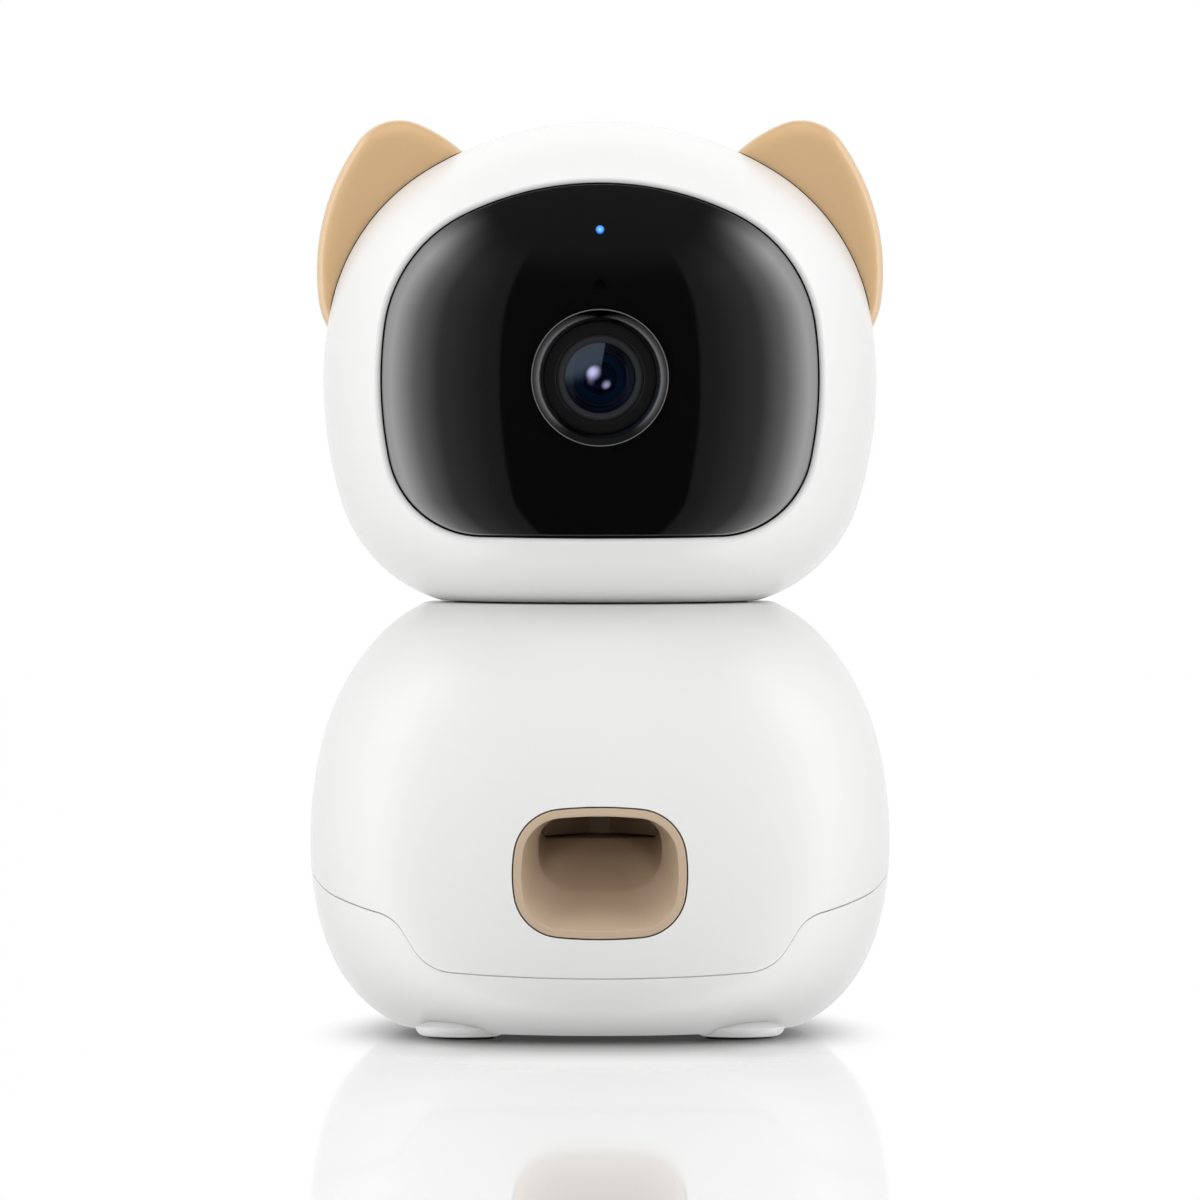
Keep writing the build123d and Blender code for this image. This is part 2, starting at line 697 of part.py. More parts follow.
# Hopper bin around and over the rotor
with BuildPart() as hopper_bin:
    with BuildSketch(Plane.XZ) as hopper_floor:
        with BuildLine():
            Polyline(
                (neck_inner_radius, hopper_floor_z),
                (base_radius, hopper_edge_z + 0.8),
                (base_radius, hopper_edge_z + 0.8 + hopper_floor_thickness),
                (neck_inner_radius, hopper_floor_z + hopper_floor_thickness),
                close=True,
            )
        make_face()
    revolve(axis=Axis.Z)
    with BuildPart(mode=Mode.PRIVATE) as hopper_side:
        revolve(base_section(hopper_inset, hopper_edge_z, hopper_top_z), axis=Axis.Z)
        revolve(base_section(hopper_inset + hopper_wall, 0, big), axis=Axis.Z, mode=Mode.SUBTRACT)
    add(hopper_side.part)
    with BuildPart(mode=Mode.PRIVATE) as hopper_limit:
        revolve(base_section(hopper_inset, 0, hopper_top_z), axis=Axis.Z)
    add(hopper_limit.part, mode=Mode.INTERSECT)
    with BuildSketch(Plane.XY.offset(deck_top_z)):
        Circle(neck_inner_radius + neck_wall)
        Circle(neck_inner_radius, mode=Mode.SUBTRACT)
    extrude(amount=hopper_floor_z + hopper_floor_thickness - deck_top_z)
    with BuildSketch(Plane.XY.offset(hopper_floor_z)):
        Circle(neck_inner_radius + 0.2)
        with Locations((0, shield_edge_y + big / 2)):
            Rectangle(big, big, mode=Mode.SUBTRACT)
    extrude(amount=hopper_floor_thickness)
    with BuildSketch(Plane.XZ.offset(neck_inner_radius - 8)):
        with Locations((0, deck_top_z + 4.0)):
            Rectangle(2 * (throat_half_width + chute_wall + seam_gap), 9.6)
    extrude(amount=20.0, mode=Mode.SUBTRACT)
    with BuildPart(mode=Mode.PRIVATE) as bin_window:
        revolve(base_section(0.0, hopper_edge_z + 1.6, window_top_z, bore=46.0), axis=Axis.Z,
                revolution_arc=2 * window_half_angle)
    add(Rot(0, 0, 90 - window_half_angle) * bin_window.part, mode=Mode.SUBTRACT)
save(hopper_bin.part, "hopper_bin")

# Roof of the hopper, carrying the pan motor
with BuildPart() as hopper_roof:
    revolve(base_section(hopper_inset, hopper_top_z, hopper_top_z + roof_thickness), axis=Axis.Z)
save(hopper_roof.part, "hopper_roof")

# Turning shutter over the fill window
with BuildPart() as fill_shutter:
    revolve(base_section(shutter_inset, shutter_bottom_z, shutter_top_z), axis=Axis.Z,
            revolution_arc=2 * shutter_half_angle)
    revolve(base_section(shutter_inset + shutter_thickness, 0, big), axis=Axis.Z, mode=Mode.SUBTRACT)
    with BuildPart(mode=Mode.PRIVATE) as shutter_tab:
        revolve(base_section(0.5, window_bottom_z + 1.0, window_top_z - 1.0), axis=Axis.Z,
                revolution_arc=2 * tab_half_width)
        revolve(base_section(shutter_inset + 0.5, 0, big), axis=Axis.Z, mode=Mode.SUBTRACT)
    add(Rot(0, 0, shutter_half_angle - tab_angle - tab_half_width) * shutter_tab.part)
shutter_in_place = Rot(0, 0, 90 - shutter_half_angle) * fill_shutter.part
save(shutter_in_place, "fill_shutter")

# Pan motor, the neck bearing and the screws of the motor
with BuildPart() as pan_motor:
    with BuildSketch(Plane.XY.offset(hopper_top_z + roof_thickness)):
        Circle(pan_motor_radius)
        with Locations((-pan_motor_radius, 0), (pan_motor_radius, 0)):
            Circle(4.0)
    extrude(amount=pan_motor_top_z - hopper_top_z - roof_thickness)
    with BuildSketch(Plane.XY.offset(pan_motor_top_z)):
        Circle(motor_shaft_radius + running_clearance)
    extrude(amount=-7.0, mode=Mode.SUBTRACT)
save(pan_motor.part, "pan_motor")
with BuildPart() as neck_bearing:
    with BuildSketch(Plane.XY.offset(base_top_z - base_wall)):
        Circle(neck_bearing_outer)
    extrude(amount=base_wall + neck_gap - 0.2)
    with BuildSketch(Plane.XY.offset(base_top_z - base_wall)):
        Circle(neck_bearing_flange)
    extrude(amount=-2.0)
    with BuildSketch(Plane.XY.offset(base_top_z + neck_gap)):
        Circle(neck_bearing_bore)
    extrude(amount=-10.0, mode=Mode.SUBTRACT)
save(neck_bearing.part, "neck_bearing")

# Head shells, split behind the widest section
with BuildPart() as head_body:
    add(head_outer.part)
    add(head_inner.part, mode=Mode.SUBTRACT)
    with BuildSketch(Plane.XY.offset(head_bottom_z)):
        Circle(floor_plate_radius + glue_gap)
    extrude(amount=floor_plate_thickness, mode=Mode.SUBTRACT)
    with BuildSketch(Plane.XY.offset(floor_top_z)):
        with PolarLocations(head_screw_ring, head_screw_count):
            Circle(head_screw_radius)
    extrude(amount=-head_screw_length, mode=Mode.SUBTRACT)
with BuildPart() as head_shell_front:
    add(head_body.part)
    extrude(visor_face(visor_gap), amount=big, mode=Mode.SUBTRACT)
    with BuildPart(mode=Mode.PRIVATE) as visor_seat:
        add(visor_back.part)
        revolve(head_section(visor_seat_inset + visor_seat_depth, head_bottom_z, big), axis=Axis.Z,
                mode=Mode.SUBTRACT)
        extrude(visor_face(visor_seat_outward), amount=big, mode=Mode.INTERSECT)
        extrude(visor_face(-visor_seat_inward), amount=big, mode=Mode.SUBTRACT)
    add(visor_seat.part)
    with BuildPart(mode=Mode.PRIVATE) as seat_tie:
        add(head_outer.part)
        revolve(head_section(visor_seat_inset + 0.2, head_bottom_z, big), axis=Axis.Z, mode=Mode.SUBTRACT)
        extrude(visor_face(visor_seat_outward), amount=big, mode=Mode.INTERSECT)
        extrude(visor_face(visor_gap), amount=big, mode=Mode.SUBTRACT)
    add(seat_tie.part)
    with BuildSketch(Plane.XZ.offset(-head_split_y + head_split_gap / 2)):
        Rectangle(big, 2 * big)
    extrude(amount=-big, mode=Mode.SUBTRACT)
with BuildPart() as head_shell_rear:
    add(head_body.part)
    with BuildSketch(Plane.XZ.offset(-head_split_y - head_split_gap / 2)):
        Rectangle(big, 2 * big)
    extrude(amount=big, mode=Mode.SUBTRACT)
    with BuildPart(mode=Mode.PRIVATE) as board_posts:
        with BuildSketch(Plane.XZ.offset(-head_board_y - 1.6)):
            with Locations((0, head_board_z)):
                with GridLocations(2 * head_post_x, 2 * head_post_z, 2, 2):
                    Circle(2.6)
        extrude(amount=-big / 2)
        add(head_outer.part, mode=Mode.INTERSECT)
    add(board_posts.part)
    with BuildSketch(Plane.XZ.offset(-40.0)):
        with Locations((0, speaker_z)):
            with HexLocations(grille_pitch / 2, 7, 7):
                Circle(grille_hole_radius)
            Circle(grille_reach, mode=Mode.INTERSECT)
    extrude(amount=-big / 2, mode=Mode.SUBTRACT)

# Speaker behind the grille
with BuildPart() as speaker:
    with BuildSketch(Plane.XZ.offset(-speaker_front_y)):
        with Locations((0, speaker_z)):
            Circle(speaker_radius)
    extrude(amount=2.5)
    with BuildSketch(Plane.XZ.offset(-speaker_front_y + 2.5)):
        with Locations((0, speaker_z)):
            Circle(speaker_radius - 3.5)
    extrude(amount=speaker_depth - 2.5)
save(speaker.part, "speaker")
with BuildPart() as speaker_gasket:
    with BuildSketch(Plane.XZ.offset(-speaker_front_y)):
        with Locations((0, speaker_z)):
            Circle(speaker_radius)
            Circle(speaker_radius - 1.8, mode=Mode.SUBTRACT)
    extrude(amount=-10.0)
    add(head_inner.part, mode=Mode.INTERSECT)
save(speaker_gasket.part, "speaker_gasket")

# Main board of the head
with BuildPart() as head_board:
    with BuildSketch(Plane.XZ.offset(-head_board_y)):
        with Locations((0, head_board_z)):
            RectangleRounded(head_board_width, head_board_height, 3.0)
    extrude(amount=-1.6)
save(head_board.part, "head_board")
with BuildPart() as head_board_chips:
    for x, z, width, height, depth in [(-8, 8, 14, 14, 1.6), (12, 6, 10, 12, 1.4), (-16, -12, 8, 6, 4.0),
                                       (14, -14, 12, 5, 3.0), (0, -16, 6, 6, 1.2)]:
        with BuildSketch(Plane.XZ.offset(-head_board_y)):
            with Locations((x, head_board_z + z)):
                Rectangle(width, height)
        extrude(amount=depth)
save(head_board_chips.part, "head_board_chips")

# Visor, its gasket and the pieces set in it
with BuildPart() as visor:
    revolve(head_section(visor_inset, head_bottom_z, big), axis=Axis.Z)
    add(visor_back.part, mode=Mode.SUBTRACT)
    extrude(visor_face(-gasket_width - visor_gap), amount=big, mode=Mode.INTERSECT)
    with BuildSketch(Plane.XZ):
        with Locations((0, lens_z)):
            Circle(bezel_outer + glue_gap)
        with Locations((0, status_light_z)):
            Circle(status_light_radius)
        with Locations((0, sensor_hole_z)):
            Circle(sensor_hole_radius)
    extrude(amount=big, mode=Mode.SUBTRACT)
save(visor.part, "visor")
with BuildPart() as visor_gasket:
    revolve(head_section(gasket_inset, head_bottom_z, big), axis=Axis.Z)
    add(visor_back.part, mode=Mode.SUBTRACT)
    extrude(visor_face(0.0), amount=big, mode=Mode.INTERSECT)
    extrude(visor_face(-gasket_width), amount=big, mode=Mode.SUBTRACT)
save(visor_gasket.part, "visor_gasket")
with BuildPart() as status_light:
    with BuildSketch(Plane.XZ.offset(-front_board_y)):
        with Locations((0, status_light_z)):
            Circle(status_light_radius)
    extrude(amount=20.0)
    revolve(head_section(visor_inset, head_bottom_z, big), axis=Axis.Z, mode=Mode.INTERSECT)
save(status_light.part, "status_light")
with BuildPart() as microphone:
    with BuildSketch(Plane.XZ.offset(-front_board_y)):
        with Locations((0, sensor_hole_z)):
            Circle(capsule_radius)
    extrude(amount=20.0)
    add(visor_back.part, mode=Mode.INTERSECT)
save(microphone.part, "microphone")
with BuildPart() as front_board:
    with BuildSketch(Plane.XZ.offset(-front_board_y)):
        with Locations((0, (front_board_bottom_z + front_board_top_z) / 2)):
            Rectangle(12.0, front_board_top_z - front_board_bottom_z)
    extrude(amount=-board_thickness)
save(front_board.part, "front_board")

# Fixed ring around the lens
with BuildPart() as lens_bezel:
    with BuildSketch(lens_plane):
        with BuildLine():
            Polyline(
                (bezel_cone_inner, lens_centre_y),
                (bezel_cone_inner, bezel_front_y + 1.9),
                (bezel_cone_outer, bezel_front_y),
                (bezel_outer, bezel_front_y + 0.2),
                (bezel_outer, bezel_flange_front_y),
                (bezel_flange_outer, bezel_flange_front_y),
                (bezel_flange_outer, bezel_back_y),
                (bezel_flange_outer - 1.0, bezel_back_y),
                (bezel_flange_outer - 1.0, lens_centre_y),
                close=True,
            )
        make_face()
        with Locations((0, lens_centre_y)):
            Circle(lens_ball_radius + ball_gap, mode=Mode.SUBTRACT)
        with Locations((0, bezel_back_y + 50.0)):
            Rectangle(100.0, 100.0, mode=Mode.SUBTRACT)
    revolve(axis=lens_axis)
save(lens_bezel.part, "lens_bezel")

# Frame that carries the trunnions
with BuildPart() as lens_frame:
    with BuildSketch(Plane.XZ.offset(-frame_back_y)):
        with Locations((0, lens_z)):
            Circle(frame_outer)
            Circle(frame_inner, mode=Mode.SUBTRACT)
    extrude(amount=frame_back_y - bezel_back_y)
    with BuildSketch(Plane.XZ.offset(-frame_back_y - 2.0)):
        with Locations((0, (lens_z - frame_outer + floor_top_z) / 2 + 0.6)):
            Rectangle(18.0, lens_z - frame_outer - floor_top_z + 1.2)
    extrude(amount=4.0)
    with BuildSketch(Plane.XY.offset(floor_top_z)):
        with Locations((0, frame_back_y + 5.0)):
            Rectangle(18.0, 14.0)
    extrude(amount=2.4)
    with BuildSketch(Plane.XY.offset(lens_z + frame_outer - 1.0)):
        with Locations((0, front_board_y + board_thickness + 1.6)):
            Rectangle(10.0, 3.2)
    extrude(amount=12.0)
    with BuildSketch(Plane.YZ):
        with Locations((lens_centre_y, lens_z)):
            Circle(trunnion_radius + running_clearance)
    extrude(amount=2 * frame_outer, both=True, mode=Mode.SUBTRACT)
    with BuildSketch(Plane.XY.offset(floor_top_z)):
        with Locations((0, frame_back_y + 7.0)):
            Circle(1.6)
    extrude(amount=4.0, mode=Mode.SUBTRACT)
save(lens_frame.part, "lens_frame")

# Tilting ball and the optics in it
with BuildPart() as lens_ball:
    with BuildSketch(lens_plane):
        with Locations((0, lens_centre_y)):
            Circle(lens_ball_radius)
        with Locations((0, lens_face_y - 50.0)):
            Rectangle(100.0, 100.0, mode=Mode.SUBTRACT)
        with Locations((0, barrel_back_y + 50.0)):
            Rectangle(100.0, 100.0, mode=Mode.SUBTRACT)
        with Locations((0, lens_centre_y)):
            Rectangle(2 * barrel_radius, 100.0, mode=Mode.SUBTRACT)
        with Locations((-big / 2, lens_centre_y)):
            Rectangle(big, big, mode=Mode.SUBTRACT)
    revolve(axis=lens_axis)
    with BuildSketch(Plane.YZ):
        with Locations((lens_centre_y, lens_z)):
            Circle(trunnion_radius)
    extrude(amount=2 * frame_outer, both=True, mode=Mode.SUBTRACT)
save(lens_ball.part, "lens_ball")
with BuildPart() as trunnion_pins:
    with BuildSketch(Plane.YZ):
        with Locations((lens_centre_y, lens_z)):
            Circle(trunnion_radius)
    extrude(amount=sector_left_x + sector_thickness)
    with BuildSketch(Plane.YZ):
        with Locations((lens_centre_y, lens_z)):
            Circle(trunnion_radius)
    extrude(amount=-frame_outer)
    with BuildSketch(Plane.XZ):
        with Locations((0, lens_z)):
            Circle(barrel_radius)
    extrude(amount=big, mode=Mode.SUBTRACT)
save(trunnion_pins.part, "trunnion_pins")
with BuildPart() as lens_barrel:
    with BuildSketch(lens_plane):
        with BuildLine():
            Polyline(
                (glass_radius, glass_edge_y),
                (glass_radius, barrel_front_y + 0.5),
                (barrel_radius - 1.2, barrel_front_y),
                (barrel_radius, barrel_front_y),
                (barrel_radius, barrel_back_y),
                (iris_hole + 1.0, barrel_back_y),
                (iris_hole + 1.0, barrel_back_y - 10.0),
                (inner_lens_radius, barrel_back_y - 10.0),
                (inner_lens_radius, glass_edge_y + glass_thickness + 0.5),
                (glass_radius, glass_edge_y + glass_thickness),
                close=True,
            )
        make_face()
    revolve(axis=lens_axis)
save(lens_barrel.part, "lens_barrel")
with BuildPart() as front_glass:
    with BuildSketch(lens_plane):
        with BuildLine():
            ThreePointArc((-glass_radius, glass_edge_y), (0, glass_front_y), (glass_radius, glass_edge_y))
            Line((glass_radius, glass_edge_y), (glass_radius, glass_edge_y + glass_thickness))
            ThreePointArc((glass_radius, glass_edge_y + glass_thickness), (0, glass_front_y + glass_thickness),
                          (-glass_radius, glass_edge_y + glass_thickness))
            Line((-glass_radius, glass_edge_y + glass_thickness), (-glass_radius, glass_edge_y))
        make_face()
        with Locations((-big / 2, lens_centre_y)):
            Rectangle(big, big, mode=Mode.SUBTRACT)
    revolve(axis=lens_axis)
save(front_glass.part, "front_glass")
with BuildPart() as inner_lens:
    with BuildSketch(lens_plane):
        with BuildLine():
            ThreePointArc((inner_lens_radius, inner_lens_edge_y), (0, inner_lens_front_y),
                          (-inner_lens_radius, inner_lens_edge_y))
            Polyline((-inner_lens_radius, inner_lens_edge_y), (-inner_lens_radius, inner_lens_back_y),
                     (inner_lens_radius, inner_lens_back_y), (inner_lens_radius, inner_lens_edge_y))
        make_face()
        with Locations((-big / 2, lens_centre_y)):
            Rectangle(big, big, mode=Mode.SUBTRACT)
    revolve(axis=lens_axis)
save(inner_lens.part, "inner_lens")
with BuildPart() as iris_ring:
    with BuildSketch(Plane.XZ.offset(-inner_lens_back_y)):
        with Locations((0, lens_z)):
            Circle(inner_lens_radius)
            Circle(iris_hole, mode=Mode.SUBTRACT)
    extrude(amount=-1.4)
save(iris_ring.part, "iris_ring")
with BuildPart() as image_sensor_board:
    with BuildSketch(Plane.XZ.offset(-barrel_back_y)):
        with Locations((0, lens_z)):
            Rectangle(17.0, 17.0)
    extrude(amount=-1.4)
save(image_sensor_board.part, "image_sensor_board")

# Tilt drive: toothed sector on the right pin, pinion, shaft, motor and plate
with BuildPart() as tilt_sector:
    with BuildSketch(Plane.YZ.offset(sector_left_x)):
        with Locations((lens_centre_y, lens_z)):
            add(gear_face(sector_teeth, 0.0))
            with BuildSketch(mode=Mode.PRIVATE) as wedge:
                with BuildLine():
                    Polyline((0, 0), polar(60.0, -sector_half_angle), polar(60.0, sector_half_angle), close=True)
                make_face()
            add(wedge.sketch, mode=Mode.INTERSECT)
            Circle(sector_hub_radius)
            Circle(trunnion_radius, mode=Mode.SUBTRACT)
    extrude(amount=sector_thickness)
save(tilt_sector.part, "tilt_sector")
with BuildPart() as tilt_pinion:
    with BuildSketch(Plane.YZ.offset(tilt_pinion_left_x)):
        with Locations((tilt_drive_y, lens_z)):
            add(gear_face(pinion_teeth, 180.0 / pinion_teeth))
            Circle(motor_shaft_radius, mode=Mode.SUBTRACT)
    extrude(amount=tilt_pinion_thickness)
save(tilt_pinion.part, "tilt_pinion")
tilt_motor_x = tilt_plate_x + tilt_plate_thickness
with BuildPart() as tilt_motor_shaft:
    with BuildSketch(Plane.YZ.offset(tilt_pinion_left_x)):
        with Locations((tilt_drive_y, lens_z)):
            Circle(motor_shaft_radius)
    extrude(amount=tilt_motor_x + 9.0 - tilt_pinion_left_x)
save(tilt_motor_shaft.part, "tilt_motor_shaft")
with BuildPart() as tilt_motor:
    with BuildSketch(Plane.YZ.offset(tilt_motor_x)):
        with Locations((tilt_drive_y, lens_z)):
            Circle(tilt_motor_radius)
    extrude(amount=tilt_motor_length)
    with BuildSketch(Plane.YZ.offset(tilt_motor_x)):
        with Locations((tilt_drive_y, lens_z)):
            Circle(motor_shaft_radius + running_clearance)
    extrude(amount=9.5, mode=Mode.SUBTRACT)
save(tilt_motor.part, "tilt_motor")
with BuildPart() as tilt_plate:
    with BuildSketch(Plane.YZ.offset(tilt_plate_x)):
        with Locations((tilt_drive_y, lens_z)):
            Rectangle(21.0, 23.0)
        with Locations((tilt_drive_y + 5.5, (lens_z + floor_top_z) / 2)):
            Rectangle(13.0, lens_z - floor_top_z)
        with Locations((tilt_drive_y, lens_z)):
            Circle(3.6, mode=Mode.SUBTRACT)
    extrude(amount=tilt_plate_thickness)
    with BuildSketch(Plane.XY.offset(floor_top_z)):
        with Locations((tilt_motor_x - 7.0, tilt_drive_y + 5.5)):
            Rectangle(14.0, 13.0)
        with Locations((tilt_motor_x - 8.0, tilt_drive_y + 5.5)):
            Circle(1.6, mode=Mode.SUBTRACT)
    extrude(amount=2.0)
save(tilt_plate.part, "tilt_plate")

# Floor of the head, its hub and the pan shaft
with BuildPart() as head_floor:
    with BuildSketch(Plane.XY.offset(head_bottom_z)):
        Circle(floor_plate_radius)
    extrude(amount=floor_plate_thickness)
    with BuildSketch(Plane.XY.offset(head_bottom_z + floor_plate_thickness)):
        Circle(floor_flange_radius)
    extrude(amount=floor_flange_thickness)
    with BuildSketch(Plane.XY.offset(head_bottom_z)):
        Circle(hub_radius)
    extrude(amount=floor_plate_thickness + floor_flange_thickness, mode=Mode.SUBTRACT)
    with BuildSketch(Plane.XY.offset(floor_top_z)):
        with PolarLocations(head_screw_ring, head_screw_count):
            Circle(head_screw_radius)
    extrude(amount=-head_screw_length, mode=Mode.SUBTRACT)
save(head_floor.part, "head_floor")
with BuildPart() as pan_hub:
    with BuildSketch(Plane.XY.offset(hub_bottom_z)):
        Circle(hub_radius)
    extrude(amount=floor_top_z - hub_bottom_z)
    with BuildSketch(Plane.XY.offset(floor_top_z)):
        Circle(18.0)
    extrude(amount=2.0)
    with BuildSketch(Plane.XY.offset(hub_bottom_z)):
        Circle(motor_shaft_radius)
        with PolarLocations(8.2, 3, start_angle=30.0):
            Circle(2.6)
    extrude(amount=20.0, mode=Mode.SUBTRACT)
save(pan_hub.part, "pan_hub")
with BuildPart() as pan_shaft:
    with BuildSketch(Plane.XY.offset(pan_motor_top_z - 6.0)):
        Circle(motor_shaft_radius)
    extrude(amount=floor_top_z + 2.0 - pan_motor_top_z + 6.0)
save(pan_shaft.part, "pan_shaft")
with BuildPart() as head_screws:
    with BuildSketch(Plane.XY.offset(floor_top_z)):
        with PolarLocations(head_screw_ring, head_screw_count):
            Circle(2.0)
    extrude(amount=1.4)
    with BuildSketch(Plane.XY.offset(floor_top_z)):
        with PolarLocations(head_screw_ring, head_screw_count):
            Circle(head_screw_radius)
    extrude(amount=-head_screw_length)
save(head_screws.part, "head_screws")
save(head_shell_rear.part, "head_shell_rear")

# Ears, trimmed to the head and set in it by a peg
with BuildPart() as right_ear:
    with BuildSketch(Plane.XZ.offset(-ear_front_y)):
        with BuildLine():
            heading = (math.cos(math.radians(ear_heading)), math.sin(math.radians(ear_heading)))
            ear_end = trace_arcs(ear_start, heading, ear_arcs)
            Polyline(ear_end, (ear_end.X - 2.0, ear_end.Y - 10.0), (ear_start[0] - 10.0, ear_start[1] - 2.0), ear_start)
        make_face()
    extrude(amount=-ear_depth)
    ear_edges = [edge for edge in right_ear.faces().filter_by(Axis.Y).edges() if edge.geom_type == GeomType.CIRCLE]
    fillet(ear_edges, ear_round)
    add(head_outer.part, mode=Mode.SUBTRACT)
save(right_ear.part, "right_ear")
left_ear = mirror(right_ear.part, about=Plane.YZ)
save(left_ear, "left_ear")
save(head_shell_front.part, "head_shell_front")
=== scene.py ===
"""Studio scene of an indoor pet camera with cat ears and a treat chute."""

import logging
import math
from dataclasses import dataclass, field
from enum import Enum
from typing import Callable

import bmesh
import bpy
import numpy as np
from mathutils import Matrix, Vector


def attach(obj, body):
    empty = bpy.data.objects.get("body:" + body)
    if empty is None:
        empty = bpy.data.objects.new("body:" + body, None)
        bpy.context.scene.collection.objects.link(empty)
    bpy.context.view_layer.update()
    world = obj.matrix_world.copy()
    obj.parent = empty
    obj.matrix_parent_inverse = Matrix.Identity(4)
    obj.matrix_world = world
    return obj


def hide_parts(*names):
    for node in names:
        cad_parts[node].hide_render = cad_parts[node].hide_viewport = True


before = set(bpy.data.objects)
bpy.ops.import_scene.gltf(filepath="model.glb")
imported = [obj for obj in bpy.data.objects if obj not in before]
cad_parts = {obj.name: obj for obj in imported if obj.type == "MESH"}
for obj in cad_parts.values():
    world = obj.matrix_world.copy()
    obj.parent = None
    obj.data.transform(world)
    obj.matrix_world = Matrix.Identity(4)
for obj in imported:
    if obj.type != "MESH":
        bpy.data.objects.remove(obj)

LOG = logging.getLogger("pet_camera")
MM = 0.001
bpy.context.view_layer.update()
WHITE = (1.0, 1.0, 1.0, 1.0)

# Places that several pieces share, in millimetres
LENS_AXIS_Z = 145.52
CHUTE_TOP_Z = 51.89
CHUTE_ARCS = ((87.4, -6.0), (10.7, -75.7), (34.2, -16.4), (10.4, -76.8))
SOCKET_Z = 23.6
BUTTON_SPOT = (19.0, 24.8)
FOOT_CENTRE = 30.8

Point = tuple[float, float]
Triple = tuple[float, float, float]
Arcs = list[tuple[float, float]]
Mesh = bmesh.types.BMesh
Socket = bpy.types.NodeSocket
Edge = Callable[[np.ndarray, np.ndarray], np.ndarray]


class Body(Enum):
    """Moving groups that a piece can ride on."""

    BASE = "base"
    HEAD = "head"
    LENS = "lens"
    SHUTTER = "shutter"
    BUTTON = "button"


# Finishes

class Nodes:
    """A shader tree being built. Each call adds a node and gives back one of its outputs."""

    def __init__(self, tree: bpy.types.NodeTree, cleared: bool = False) -> None:
        """Take up a tree.

        Args:
            tree: Node tree to add to.
            cleared: Whether its first nodes are removed.
        """
        self.tree = tree
        if cleared:
            tree.nodes.clear()

    def feed(self, socket: Socket, value: Socket | float | tuple) -> None:
        """Link an input to a socket, or give it a fixed value."""
        if isinstance(value, bpy.types.NodeSocket):
            self.tree.links.new(value, socket)
        else:
            socket.default_value = value

    def add(self, kind: str, inputs: dict, output: str | int = 0, **settings: str) -> Socket:
        """Add a node of any kind.

        Args:
            kind: Node type without its prefix.
            inputs: Fixed value or source of each input, by name or number.
            output: Name or number of the output wanted.
            settings: Properties of the node.

        Returns:
            The output.
        """
        node = self.tree.nodes.new(f"ShaderNode{kind}")
        for name, value in settings.items():
            setattr(node, name, value)
        for key, value in inputs.items():
            self.feed(node.inputs[key], value)
        return node.outputs[output]

    def place(self) -> Socket:
        """Object coordinates."""
        return self.add("TexCoord", {}, "Object")

    def noise(self, place: Socket, size_mm: float, detail: float) -> Socket:
        """Noise of one grain size, with octaves of finer noise."""
        return self.add("TexNoise", {"Vector": place, "Scale": 1.0 / (size_mm * MM), "Detail": detail}, "Fac")

    def math(self, operation: str, *values: Socket | float) -> Socket:
        """Result of a sum."""
        return self.add("Math", dict(enumerate(values)), "Value", operation=operation)

    def length(self, operation: str, *values: Socket | Triple) -> Socket:
        """Number that a vector operation gives."""
        return self.add("VectorMath", dict(enumerate(values)), "Value", operation=operation)

    def distance(self, place: Socket, centre_mm: Triple) -> Socket:
        """Distance from a point given in millimetres."""
        return self.length("DISTANCE", place, tuple(value * MM for value in centre_mm))

    def span(self, value: Socket, low: float = 0.0, high: float = 1.0, to: Point = (0.0, 1.0),
             ease: str = "LINEAR") -> Socket:
        """Stretch a range of values onto another.

        Args:
            value: The value.
            low: Start of its range.
            high: End of its range.
            to: What the start and the end turn into.
            ease: How it goes from one to the other.

        Returns:
            The stretched value.
        """
        ends = {"From Min": low, "From Max": high, "To Min": to[0], "To Max": to[1]}
        return self.add("MapRange", {"Value": value, **ends}, "Result", interpolation_type=ease)

    def ramp(self, value: Socket, stops: list[tuple[float, Triple]]) -> Socket:
        """Turn a value into a colour.

        Args:
            value: The value.
            stops: Value and colour of each stop, in order.

        Returns:
            The colour.
        """
        color = self.add("ValToRGB", {"Fac": value}, "Color")
        elements = color.node.color_ramp.elements
        for number, (position, tint) in enumerate(stops):
            stop = elements[number] if number < 2 else elements.new(1.0)
            stop.position = position
            stop.color = (*tint, 1.0)
        return color

    def bump(self, height: Socket, strength: float, depth_mm: float, under: Socket | None = None) -> Socket:
        """Raise a relief.

        Args:
            height: The relief.
            strength: How much of it shows.
            depth_mm: Its full height.
            under: Relief that it lies on.

        Returns:
            The normal.
        """
        base = {} if under is None else {"Normal": under}
        inputs = {"Height": height, "Strength": strength, "Distance": depth_mm * MM, **base}
        return self.add("Bump", inputs, "Normal")

    def blend(self, share: Socket, first: Socket, second: Socket) -> Socket:
        """Mix two shaders by the share of the second."""
        return self.add("MixShader", {"Fac": share, 1: first, 2: second}, "Shader")

    def close(self, kind: str, surface: Socket) -> None:
        """Lead a shader to the output of a material or a world."""
        self.feed(self.tree.nodes.new(f"ShaderNodeOutput{kind}").inputs["Surface"], surface)


def new_material(name: str, cleared: bool = False) -> tuple[bpy.types.Material, Nodes]:
    """Start a node material.

    Args:
        name: Its name.
        cleared: Whether its standard shader is removed.

    Returns:
        The material and its tree.
    """
    material = bpy.data.materials.new(name)
    material.use_nodes = True
    return material, Nodes(material.node_tree, cleared)


